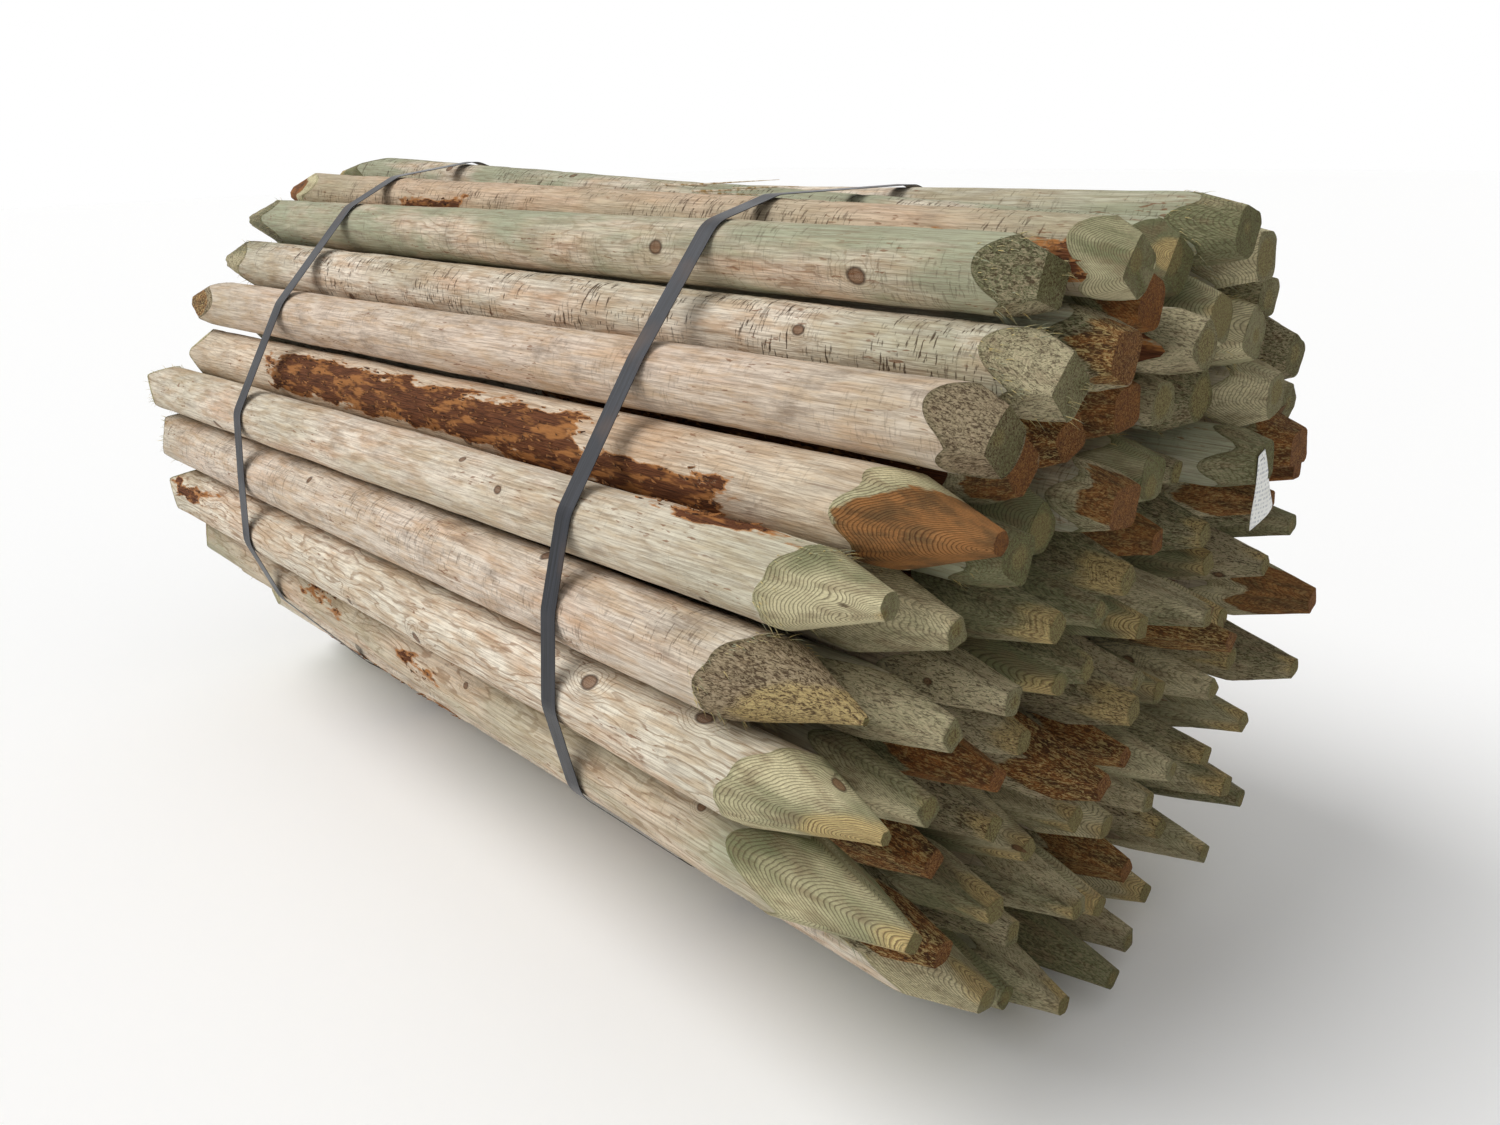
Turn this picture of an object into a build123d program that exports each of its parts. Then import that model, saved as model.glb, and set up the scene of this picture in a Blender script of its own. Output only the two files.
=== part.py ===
from build123d import *
import math
import os
import random

import numpy as np

# A strapped bundle of round fence posts lying on level ground.
# X runs along the posts, +X towards the right-hand ends, Y away from the camera side, Z up.
# The origin is on the ground under the middle of the bundle.

# The posts: the peeling machine leaves narrow flats all along each round
post_length = 2134.0
smallest_diameter = 92.0
largest_diameter = 124.0
post_taper = 4.6
peeled_flats = 24
end_scatter = 38.0
thickness_seed = 9
sawing_seed = 23

# The driven end: long flat cuts that leave a small square tip
point_cuts = 4
point_length = 205.0
point_tip = 31.0

# The top end: short flat cuts that leave most of the end grain
top_cuts = 4
top_cut_length = 92.0
top_flat = 58.0

# How unevenly the cuts are sawn, as a share of each size and in degrees
cut_unevenness = 0.16
cut_turn = 9.0

# The steel strapping
strap_width = 32.0
strap_thickness = 0.9
strap_inset = 533.0
strap_seat_gap = 0.2
seal_length = 46.0
seal_thickness = 1.2
seal_gap = 0.3
seal_corner = 1.4
seal_bearing = 25.0

# The label stapled to one end: the post that carries it stands out past its neighbours, and
# starts nearest to this place, as (across, up) in post widths
tagged_place = (2.37, 6.90)
tagged_post_shift = 47.0
tag_height = 110.0
tag_top_width = 20.0
tag_bottom_width = 70.0
tag_thickness = 0.6
tag_seat_gap = 0.3

# The staple: where it is on the post's end, as (across, up) from the middle, how far it is below
# the label's top, and how far the wind has swung the label round it, in degrees
staple_place = (-16.0, 12.0)
staple_inset = 8.0
tag_swing = 20.0

# Room left between neighbouring posts, and the most that a settled post leans along the stack
post_gap = 0.3
steepest_lean = 0.05

# The rows of the stack, from the ground up: how many posts, then the first and last axis as
# (across, up) in post widths. The pull of the straps settles them into the round.
# A post width is the middle diameter and the room that round posts leave between them.
width_per_post = 1.065
rows = [
    (5, (-0.96, 0.50), (2.96, 0.50)),
    (6, (-1.84, 1.06), (3.65, 1.39)),
    (8, (-2.78, 1.78), (4.22, 2.17)),
    (9, (-3.52, 2.65), (4.52, 3.00)),
    (9, (-3.93, 3.58), (4.65, 3.83)),
    (10, (-4.15, 4.57), (4.68, 4.74)),
    (10, (-4.07, 5.54), (4.65, 5.65)),
    (9, (-3.77, 6.50), (4.48, 6.52)),
    (8, (-3.29, 7.11), (4.13, 7.30)),
    (7, (-2.82, 7.97), (3.61, 8.04)),
    (5, (-2.32, 8.70), (2.87, 8.70)),
    (3, (-1.70, 9.16), (1.04, 9.22)),
    (2, (-1.00, 9.54), (0.58, 9.67)),
]

# The posts that show the outline on the camera side and at the top, as they lie in the photograph:
# (row, place in it), then the axis at the left end and at the right end, in post widths,
# the share of the way from the smallest to the largest diameter, and how far it stands out in X
side_posts = {
    (0, 0): ((-0.85, 0.50), (-0.85, 0.50), 0.68, 12.0),
    (1, 0): ((-1.66, 1.13), (-1.66, 1.13), 0.60, -20.0),
    (2, 0): ((-2.40, 1.87), (-2.40, 1.87), 0.50, 16.0),
    (3, 0): ((-2.98, 2.72), (-2.98, 2.72), 0.60, -8.0),
    (4, 0): ((-3.60, 3.61), (-4.26, 3.56), 0.88, 34.0),
    (5, 0): ((-3.97, 4.46), (-4.32, 4.66), 0.75, 8.0),
    (6, 0): ((-3.92, 5.38), (-4.22, 5.70), 0.93, -32.0),
    (7, 0): ((-3.85, 6.28), (-3.68, 6.71), 0.50, -38.0),
    (8, 0): ((-3.37, 6.96), (-3.20, 7.27), 0.75, 36.0),
    (9, 0): ((-3.06, 7.87), (-2.57, 8.09), 0.44, 6.0),
    (10, 0): ((-2.57, 8.65), (-2.06, 8.74), 0.50, 22.0),
    (11, 0): ((-1.57, 9.21), (-1.81, 9.10), 0.25, -22.0),
    (12, 0): ((-0.94, 9.76), (-1.05, 9.33), 0.25, 26.0),
    (12, 1): ((0.33, 10.03), (0.83, 9.30), 0.50, -24.0),
}

# The right-hand cuts of the side posts, as they show in the photograph: how far round from
# straight up the longest of them faces, in degrees towards the camera side, how long it is, how
# wide an end the cuts leave, and how many there are
side_cuts = {
    (4, 0): (50.0, 258.0, 24.0, 4),
    (5, 0): (112.0, 205.0, 31.0, 8),
    (6, 0): (112.0, 212.0, 26.0, 8),
    (7, 0): (115.0, 140.0, 44.0, 8),
    (8, 0): (76.0, 188.0, 28.0, 6),
    (9, 0): (44.0, 75.0, 66.0, 4),
    (10, 0): (45.0, 90.0, 62.0, 4),
    (11, 0): (69.0, 70.0, 54.0, 4),
    (12, 0): (53.0, 66.0, 58.0, 4),
    (12, 1): (60.0, 56.0, 60.0, 4),
}
# Such an end leans. Its cuts get shorter by up to this share round to its other side, and its
# narrow end lies off the middle by this share of half its width
end_lean = 0.45
end_shift = 0.6

# In the upper rows the posts lie the other way round, points to the left, from these places on
first_turned_post = {7: 6, 8: 1, 9: 0, 10: 0, 11: 0, 12: 0}

# The straps draw the stack into a round of this radius about this centre, in post widths
round_radius = 5.18
round_centre = (0.04, 4.98)

# The settling goes in turns. In each, the straps pull by so many mm and gravity by so many more,
# then sweeps clear a share of every overlap at stations along the posts. The straps' pull fades
# and ends after a share of the turns. The side posts give way less readily than the others.
settling_turns = 1300
strap_pull = 1.2
sink_while_pulled = 0.25
sink_at_rest = 0.03
pull_ends = 0.75
sweeps = 4
sweep_ease = 0.35
stations = 5
wall_ease = 0.3
side_post_give = 0.1
neighbour_reach = 1.8
turns_between_searches = 25

middle = post_length / 2
strap_places = {"left": -middle + strap_inset, "right": middle - strap_inset}
# Posts lean a little across the width of a strap, and the loop clears the widest part
lean_allowance = strap_width / 2 * steepest_lean
stand = strap_thickness + strap_seat_gap + lean_allowance
# The outermost posts are looked for at every half degree round the stack
bearing_step = 0.5


class Post:
    """One post: its place in the stack, its sizes and where its axis runs."""

    def __init__(self, row, place, start, end, share, shift):
        self.row = row
        self.place = place
        self.turned = place >= first_turned_post.get(row, math.inf)
        self.at_side = (row, place) in side_posts
        self.ends = [start, end]
        diameter = smallest_diameter + share * (largest_diameter - smallest_diameter)
        butt, top = (diameter + post_taper / 2) / 2, (diameter - post_taper / 2) / 2
        self.radii = [butt, top] if self.turned else [top, butt]
        self.shift = shift


def stack_rows():
    """Every post at its starting place, row by row."""
    pick = random.Random(thickness_seed)
    posts = []
    for row, (count, first, last) in enumerate(rows):
        for place in range(count):
            along = place / (count - 1)
            spot = [a + (b - a) * along for a, b in zip(first, last)]
            share, shift = pick.random(), pick.uniform(-end_scatter, end_scatter)
            start, end = spot, spot
            if (row, place) in side_posts:
                start, end, share, shift = side_posts[row, place]
            posts.append(Post(row, place, start, end, share, shift))
    tagged = min(posts, key=lambda post: math.dist(post.ends[1], tagged_place))
    tagged.shift = tagged_post_shift
    return posts, tagged


def settle(posts):
    """Draw the posts together until they bear on each other and on the ground."""
    width = (smallest_diameter + largest_diameter) / 2 * width_per_post
    ends = np.array([post.ends for post in posts]) * width
    radii = np.array([post.radii for post in posts])
    shifts = np.array([post.shift for post in posts])
    at_side = np.array([post.at_side for post in posts])
    give = np.where(at_side, side_post_give, 1.0)
    centre = np.array(round_centre) * width
    wall = round_radius * width
    home = ends.copy()
    first, second = np.triu_indices(len(posts), 1)
    reach = neighbour_reach * largest_diameter

    def sections(x):
        along = ((x + middle - shifts) / post_length)[:, None]
        axis = (1 - along) * ends[:, 0] + along * ends[:, 1]
        return along, axis, (radii * np.hstack([1 - along, along])).sum(axis=1)

    for turn in range(settling_turns):
        if turn % turns_between_searches == 0:
            mid = ends.mean(axis=1)
            near = np.linalg.norm(mid[first] - mid[second], axis=1) < reach
            a, b = first[near], second[near]
            share = (give[a] / (give[a] + give[b]))[:, None]
        fade = max(0.0, 1 - turn / (pull_ends * settling_turns))
        inward = centre - ends
        distance = np.linalg.norm(inward, axis=-1, keepdims=True)
        pull = inward / np.maximum(distance, width / 2) * strap_pull * fade
        pull[..., 1] -= sink_while_pulled * fade
        pull[at_side] = (home[at_side] - ends[at_side]) * fade
        pull[..., 1] -= sink_at_rest
        ends = ends + pull
        for _ in range(sweeps):
            move = np.zeros_like(ends)
            for x in np.linspace(-middle, middle, stations):
                along, axis, radius = sections(x)
                apart = axis[a] - axis[b]
                distance = np.linalg.norm(apart, axis=1)
                overlap = np.maximum(radius[a] + radius[b] + post_gap - distance, 0)
                push = apart * (overlap / distance)[:, None]
                shove = np.zeros_like(axis)
                np.add.at(shove, a, push * share)
                np.add.at(shove, b, -push * (1 - share))
                shove[:, 1] += np.maximum(radius + stand - axis[:, 1], 0)
                move[:, 0] += shove * (1 - along)
                move[:, 1] += shove * along
            ends = ends + move * sweep_ease
            if fade > 0:
                outward = ends - centre
                distance = np.linalg.norm(outward, axis=-1)
                beyond = np.maximum(distance + radii - wall, 0) * wall_ease * ~at_side[:, None]
                ends = ends - outward * (beyond / distance)[..., None]

    under_straps = [sections(x)[1:] for x in strap_places.values()]
    ends[..., 1] += stand - min((axis[:, 1] - radius).min() for axis, radius in under_straps)
    for post, pair in zip(posts, ends):
        post.ends = pair


def uneven(pick):
    """A factor near 1, as no two saw cuts are alike."""
    return 1 + pick.uniform(-cut_unevenness, cut_unevenness)


def leaning_cuts(facing, length, across, cuts):
    """The bearings, lengths and distances from the middle of the cuts round a leaning end."""
    facets = []
    for turn in [360 / cuts * cut for cut in range(cuts)]:
        towards = math.cos(math.radians(turn))
        depth = length * (1 - end_lean * (1 - towards) / 2)
        facets.append((facing + turn, depth, across / 2 * (1 - end_shift * towards)))
    return facets


def saw(solid, radius, cuts, length, across, pick, chosen):
    """Saw flat facets round the upper end of a post that stands on the XY plane."""
    first = pick.uniform(0, 360 / cuts)
    facets = []
    for turn in [360 / cuts * cut for cut in range(cuts)]:
        depth, tip = length * uneven(pick), across / 2 * uneven(pick)
        facets.append((first + turn + pick.uniform(-cut_turn, cut_turn), depth, tip))
    if chosen:
        facets = leaning_cuts(*chosen)
    for bearing, depth, tip in facets:
        side, front = math.cos(math.radians(bearing)), math.sin(math.radians(bearing))
        face = Plane(
            origin=(tip * side, tip * front, post_length),
            z_dir=(depth * side, depth * front, radius - tip),
        )
        solid = split(solid, bisect_by=face, keep=Keep.BOTTOM)
    return solid


def peeled_round(foot, head, turn):
    """A tapered round of narrow flats, standing on the XY plane, turned by a share of a flat."""
    bearings = [math.tau * (flat + turn) / peeled_flats for flat in range(peeled_flats)]
    lower, upper = (
        [Vector(radius * math.cos(angle), radius * math.sin(angle), height) for angle in bearings]
        for radius, height in ((foot, 0), (head, post_length))
    )
    flats = zip(lower, lower[1:] + lower[:1], upper[1:] + upper[:1], upper)
    return Solid(Shell([Face(Wire.make_polygon(corners)) for corners in [lower, upper, *flats]]))


def make_post(post, pick):
    """A tapered round with a sawn point at its thick end and sawn bevels round its top."""
    butt, top = max(post.radii), min(post.radii)
    at_right = side_cuts.get((post.row, post.place))
    point, bevels = (None, at_right) if post.turned else (at_right, None)
    solid = peeled_round(top, butt, pick.random())
    solid = saw(solid, butt, point_cuts, point_length, point_tip, pick, point)
    solid = Location((0, 0, post_length), (180, 0, 0)) * solid
    solid = saw(solid, top, top_cuts, top_cut_length, top_flat, pick, bevels)
    # The top end is uppermost now. In the turned posts it goes to the right.
    left, right = post_end(post, 0), post_end(post, 1)
    foot, head = (left, right) if post.turned else (right, left)
    return Plane(origin=foot, x_dir=(0, 0, 1), z_dir=head - foot).location * solid


def post_end(post, side):
    """The middle of a post's left end (0) or right end (1)."""
    across, up = post.ends[side]
    return Vector((-middle, middle)[side] + post.shift, across, up)


def section(post, x):
    """Where a post's axis passes the plane at x, and its radius there."""
    along = (x - post_end(post, 0).X) / post_length
    across, up = (1 - along) * post.ends[0] + along * post.ends[1]
    return across, up, (1 - along) * post.radii[0] + along * post.radii[1]


def outer_rounds(posts, x):
    """The posts that a loop pulled tight round the stack bears on, in order, anticlockwise."""
    rounds = [section(post, x) for post in posts]
    order = []
    for angle in np.arange(0, math.tau, math.radians(bearing_step)):
        side, up = math.cos(angle), math.sin(angle)
        touched = max(rounds, key=lambda r: r[0] * side + r[1] * up + r[2])
        if not order or touched is not order[-1]:
            order.append(touched)
    if order[0] is order[-1]:
        order.pop()
    return order


def tangent_angle(a, b):
    """The bearing, from both centres, of the line that touches round a and then round b."""
    across, up = b[0] - a[0], b[1] - a[1]
    return math.atan2(up, across) - math.acos((a[2] - b[2]) / math.hypot(across, up))


def on_round(r, angle, grown):
    """The point on a round that has grown by an amount, at an angle."""
    return r[0] + (r[2] + grown) * math.cos(angle), r[1] + (r[2] + grown) * math.sin(angle)


def loop(order, grown):
    """A closed outline of arcs round the outer posts and straight runs between them."""
    edges = []
    for before, here, after in zip(order[-1:] + order[:-1], order, order[1:] + order[:1]):
        start, end = tangent_angle(before, here), tangent_angle(here, after)
        end += math.tau * math.ceil((start - end) / math.tau)
        arc = [on_round(here, start + (end - start) * share, grown) for share in (0, 0.5, 1)]
        run = [arc[2], on_round(after, end, grown)]
        edges += [ThreePointArc(*arc), Line(*run)]
    return Wire([edge.edge() for edge in edges])


def make_strap(order, x):
    """A flat steel band pulled tight round the stack, centred at x."""
    seat = strap_seat_gap + lean_allowance
    band = Face(loop(order, seat + strap_thickness), [loop(order, seat)])
    start = Plane(origin=(x - strap_width / 2, 0, 0), x_dir=(0, 1, 0), z_dir=(1, 0, 0))
    return extrude(start.location * band, amount=strap_width, dir=(1, 0, 0))


def seal_plane(order, x):
    """The middle of the straight run that faces nearest to the seal's bearing."""
    wanted = math.radians(seal_bearing)
    runs = [(a, b, tangent_angle(a, b)) for a, b in zip(order, order[1:] + order[:1])]
    a, b, angle = max(runs, key=lambda run: math.cos(run[2] - wanted))
    depth = strap_seat_gap + lean_allowance + strap_thickness / 2
    start, end = on_round(a, angle, depth), on_round(b, angle, depth)
    centre = (x, (start[0] + end[0]) / 2, (start[1] + end[1]) / 2)
    return Plane(origin=centre, x_dir=(1, 0, 0), z_dir=(0, -math.sin(angle), math.cos(angle)))


def make_seal(plane):
    """A crimped steel sleeve round the strap, where its ends lap."""
    inner = (strap_width + 2 * seal_gap, strap_thickness + 2 * seal_gap)
    outer = [size + 2 * seal_thickness for size in inner]
    sleeve = RectangleRounded(*outer, seal_corner) - Rectangle(*inner)
    return plane.location * extrude(sleeve, amount=seal_length / 2, both=True)


def make_tag(post):
    """A label that hangs by a staple from the flat end of a post, wider at its foot."""
    head, foot = tag_top_width / 2, tag_bottom_width / 2
    top, bottom = staple_inset, staple_inset - tag_height
    outline = make_face(Polyline((-head, top), (head, top), (foot, bottom), (-foot, bottom), close=True))
    along = post_end(post, 1) - post_end(post, 0)
    end_face = Plane(origin=post_end(post, 1), x_dir=(0, 1, 0), z_dir=along)
    seated = Location((*staple_place, tag_seat_gap), (0, 0, tag_swing))
    return end_face.location * seated * extrude(outline, amount=tag_thickness)


def build_bundle():
    """Every piece of the bundle by name, with its posts settled and its straps drawn tight."""
    posts, tagged = stack_rows()
    settle(posts)
    pick = random.Random(sawing_seed)
    pieces = {}
    for row in range(len(rows)):
        solids = [make_post(post, pick) for post in posts if post.row == row]
        pieces[f"posts_row_{row + 1:02d}"] = Compound(solids)
    for side, x in strap_places.items():
        order = outer_rounds(posts, x)
        pieces[f"strap_{side}"] = make_strap(order, x)
        pieces[f"strap_seal_{side}"] = make_seal(seal_plane(order, x))
    pieces["end_tag"] = make_tag(tagged)
    return pieces


pieces = build_bundle()
box = Compound(list(pieces.values())).bounding_box()
to_origin = Location((-box.center().X, -box.center().Y, -box.min.Z))
os.makedirs("parts", exist_ok=True)
for name, piece in pieces.items():
    export_step(to_origin * piece, f"parts/{name}.step")
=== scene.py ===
# %% [markdown]
# # A strapped bundle of treated fence posts
#
# The object is a round bundle of peeled, pressure-treated pine posts. Most lie with their
# sawn points to the right, the upper ones the other way round. Two flat steel straps hold
# them, and a paper-thin label is stapled to one end.
#
# The solid model gives every post's place, thickness and saw cuts. This lesson dresses it: it
# measures each post on the solid model, lays a finer skin over it, wears that skin with Geometry
# Nodes, and paints it with growth rings, knots, bark and the green tint of the treatment.

# %% Load the solid model
import math
import random

import bpy
import numpy as np
from mathutils import Matrix, Vector


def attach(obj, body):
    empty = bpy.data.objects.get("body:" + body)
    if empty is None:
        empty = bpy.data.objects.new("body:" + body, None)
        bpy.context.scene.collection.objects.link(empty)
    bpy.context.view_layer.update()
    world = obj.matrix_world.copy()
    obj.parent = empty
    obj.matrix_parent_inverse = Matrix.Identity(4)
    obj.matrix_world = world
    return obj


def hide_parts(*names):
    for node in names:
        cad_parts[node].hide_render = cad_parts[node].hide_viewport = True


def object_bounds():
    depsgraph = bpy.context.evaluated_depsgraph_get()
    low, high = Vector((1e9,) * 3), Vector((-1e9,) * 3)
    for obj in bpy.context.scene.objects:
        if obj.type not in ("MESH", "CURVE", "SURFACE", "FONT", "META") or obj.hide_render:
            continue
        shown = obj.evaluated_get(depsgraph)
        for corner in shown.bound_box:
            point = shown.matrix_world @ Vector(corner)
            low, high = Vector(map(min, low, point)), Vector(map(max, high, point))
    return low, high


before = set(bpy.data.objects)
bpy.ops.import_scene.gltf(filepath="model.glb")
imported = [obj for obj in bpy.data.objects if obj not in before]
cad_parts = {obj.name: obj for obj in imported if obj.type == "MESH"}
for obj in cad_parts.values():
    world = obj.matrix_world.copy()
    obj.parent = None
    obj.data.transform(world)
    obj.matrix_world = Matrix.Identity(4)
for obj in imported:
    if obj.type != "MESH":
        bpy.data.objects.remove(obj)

solid_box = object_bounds()
print("solid model:", len(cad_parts), "nodes, box", solid_box)

# %% [markdown]
# ## The camera
#
# The photograph was taken from a standing height, looking down at the bundle's near right corner.
# A camera could be placed by eye, but ten posts show both of their ends, which fixes it well: the
# place, heading, tilt and roll below put those ends where the photograph has them. The focal
# length is a count of pixels in a picture 1500 wide, and turns into millimetres of lens here.

# %% Set up the camera
photo_width = 1500
focal_length_in_pixels = 1170.2
camera_place = Vector((1.7455, -1.3657, 1.2312))
camera_heading = math.radians(43.554)
camera_tilt = math.radians(20.190)
camera_roll = math.radians(-1.498)


def put_in_scene(name, data):
    """A new object in the scene, made of a camera, a mesh or a lamp."""
    thing = bpy.data.objects.new(name, data)
    bpy.context.scene.collection.objects.link(thing)
    return thing


def camera_axes(heading, tilt, roll):
    """The camera's right, up and backward directions as the columns of a matrix."""
    level_right = Vector((math.sin(heading), math.cos(heading), 0))
    level_ahead = Vector((-math.cos(heading), math.sin(heading), 0))
    ahead = level_ahead * math.cos(tilt) - Vector((0, 0, math.sin(tilt)))
    level_up = Vector((0, 0, math.cos(tilt))) + level_ahead * math.sin(tilt)
    right = level_right * math.cos(roll) + level_up * math.sin(roll)
    up = level_up * math.cos(roll) - level_right * math.sin(roll)
    return Matrix((right, up, -ahead)).transposed()


lens = bpy.data.cameras.new("photo_camera")
lens.sensor_width = 36
lens.lens = lens.sensor_width * focal_length_in_pixels / photo_width
camera = put_in_scene("photo_camera", lens)
turned = camera_axes(camera_heading, camera_tilt, camera_roll).to_4x4()
camera.matrix_world = Matrix.Translation(camera_place) @ turned
bpy.context.scene.camera = camera
bpy.context.scene.view_settings.view_transform = "Standard"
print("camera: lens", round(lens.lens, 2), "mm, at", tuple(round(c, 3) for c in camera.location))

# %% [markdown]
# ## Helpers for node trees
#
# Shader trees and Geometry Nodes trees are built from the same few moves: add a node, set it up,
# feed it values or other nodes' outputs. Writing them once keeps each recipe below short. A node's
# output is held as a wire here, and a sum such as a * 0.5 + b between wires places the nodes that
# work it out, so that a recipe can be read from top to bottom like the steps in a workshop.


# %% Write the node helpers
class Wire:
    """One output of a node. A sum between wires places the nodes that work it out."""

    def __init__(self, tree, socket):
        self.tree, self.socket = tree, socket

    def __add__(self, other):
        return maths("ADD", self, other)

    def __sub__(self, other):
        return maths("SUBTRACT", self, other)

    def __rsub__(self, other):
        return maths("SUBTRACT", other, self)

    def __mul__(self, other):
        return maths("MULTIPLY", self, other)

    def __truediv__(self, other):
        return maths("DIVIDE", self, other)

    def __rtruediv__(self, other):
        return maths("DIVIDE", other, self)


class Wires:
    """All outputs of a node, each found by its name or number."""

    def __init__(self, tree, node):
        self.tree, self.sockets = tree, node.outputs

    def __getitem__(self, key):
        return Wire(self.tree, self.sockets[key])


def place(tree, kind, feeds=None, **settings):
    """Add a node, set it up, feed its sockets with values or wires, and return its outputs."""
    node = tree.nodes.new(kind)
    for name, value in settings.items():
        setattr(node, name, value)
    for socket, value in (feeds or {}).items():
        if isinstance(value, Wire):
            tree.links.new(value.socket, node.inputs[socket])
        else:
            node.inputs[socket].default_value = value
    return Wires(tree, node)


def maths(operation, *values):
    """One step of arithmetic, on vectors where a value is one and otherwise on numbers."""
    tree = next(value.tree for value in values if isinstance(value, Wire))
    kinds = [value.socket.type if isinstance(value, Wire) else type(value) for value in values]
    vectors = [kind in ("VECTOR", tuple) for kind in kinds]
    if not any(vectors):
        return place(tree, "ShaderNodeMath", dict(enumerate(values)), operation=operation)[0]
    if operation == "MULTIPLY" and not all(vectors):
        feeds = {0: values[0], 3: values[1]}
        return place(tree, "ShaderNodeVectorMath", feeds, operation="SCALE")[0]
    result = place(tree, "ShaderNodeVectorMath", dict(enumerate(values)), operation=operation)
    return result["Value" if operation == "LENGTH" else "Vector"]


def split(vector):
    """The three numbers of a vector."""
    parts = place(vector.tree, "ShaderNodeSeparateXYZ", {0: vector})
    return parts[0], parts[1], parts[2]


def joined(tree, x=0.0, y=0.0, z=0.0):
    """A vector put together from three numbers."""
    return place(tree, "ShaderNodeCombineXYZ", {0: x, 1: y, 2: z})[0]


def between(share, first, second):
    """A number that goes from the first to the second as the share goes from 0 to 1."""
    return place(share.tree, "ShaderNodeMix", {0: share, 2: first, 3: second})[0]


def ramp(value, low, high, start=0.0, end=1.0):
    """A soft step that rises from start to end as value goes from low to high."""
    feeds = {"Value": value, "From Min": low, "From Max": high, "To Min": start, "To Max": end}
    return place(value.tree, "ShaderNodeMapRange", feeds, interpolation_type="SMOOTHSTEP")[0]


def noise(vector, scale=1.0, detail=2.0, roughness=0.5, distortion=0.0):
    """Soft random values between about 0.2 and 0.8."""
    feeds = {"Vector": vector, "Scale": scale, "Detail": detail}
    feeds |= {"Roughness": roughness, "Distortion": distortion}
    return place(vector.tree, "ShaderNodeTexNoise", feeds)[0]


def coats(ground, *layers):
    """A ground colour under coats of other colours, each given as (share, colour)."""
    for share, tone in layers:
        feeds = {0: share, 6: ground, 7: tone}
        ground = place(share.tree, "ShaderNodeMix", feeds, data_type="RGBA")[2]
    return ground


def new_group(name, kind, inputs):
    """An empty node group with named inputs, each given as (kind, value): (tree, its inputs)."""
    tree = bpy.data.node_groups.new(name, kind)
    for title, (socket, value) in inputs.items():
        item = tree.interface.new_socket(name=title, in_out="INPUT", socket_type="NodeSocket" + socket)
        if value is not None:
            item.default_value = value
    return tree, place(tree, "NodeGroupInput")


def give(tree, results, socket="Float"):
    """Finish a node group with named outputs."""
    for title in results:
        tree.interface.new_socket(name=title, in_out="OUTPUT", socket_type="NodeSocket" + socket)
    place(tree, "NodeGroupOutput", results)
    return tree


def colour(red, green, blue):
    """A colour given as a screen shows it, from 0 to 255, as the linear numbers shaders use."""
    shares = [value / 255 for value in (red, green, blue)]
    linear = [s / 12.92 if s <= 0.04045 else ((s + 0.055) / 1.055) ** 2.4 for s in shares]
    return (*linear, 1.0)


print("node helpers are ready")

# %% [markdown]
# ## Measure every post on the solid model
#
# In the solid model a post is a tapered round of narrow flats with saw cuts at each end. A fine
# skin could be shrink-wrapped over it, but that blurs the edges that the saw left. Measuring is
# better: the flats give the axis and the radius, and the sloping faces give each cut's plane, so
# that the new skin can follow every edge exactly.


# %% Take the posts of one row apart
def loose_posts(node):
    """The triangles of each separate post in a node, ordered across the bundle."""
    mesh = node.data
    points = np.empty(len(mesh.vertices) * 3)
    mesh.vertices.foreach_get("co", points)
    points = points.reshape(-1, 3)
    mesh.calc_loop_triangles()
    corners = np.empty(len(mesh.loop_triangles) * 3, dtype=np.int64)
    mesh.loop_triangles.foreach_get("vertices", corners)
    _, same_place = np.unique(points.round(6), axis=0, return_inverse=True)
    corners = same_place.ravel()[corners].reshape(-1, 3)
    spots = np.zeros((corners.max() + 1, 3))
    spots[same_place.ravel()] = points
    label = np.arange(len(spots))
    while True:
        lowest = label[corners].min(axis=1)
        before = label.copy()
        np.minimum.at(label, corners.ravel(), np.repeat(lowest, 3))
        if (before == label).all():
            break
    posts = [spots[corners[label[corners[:, 0]] == name]] for name in np.unique(label)]
    return sorted(posts, key=lambda triangles: triangles[..., 1].mean())


print("posts in the lowest row:", len(loose_posts(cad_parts["posts_row_01"])))


# %% Measure one post
flat_slope = 0.03
flat_tolerance = 0.0004
smallest_miss = 0.00001
end_slope = 0.95
least_turn_between_cuts = 0.3
passes_over_the_flats = 5
fits_a_pass = 12
least_towards = 0.02
far_out = 9.0


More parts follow.
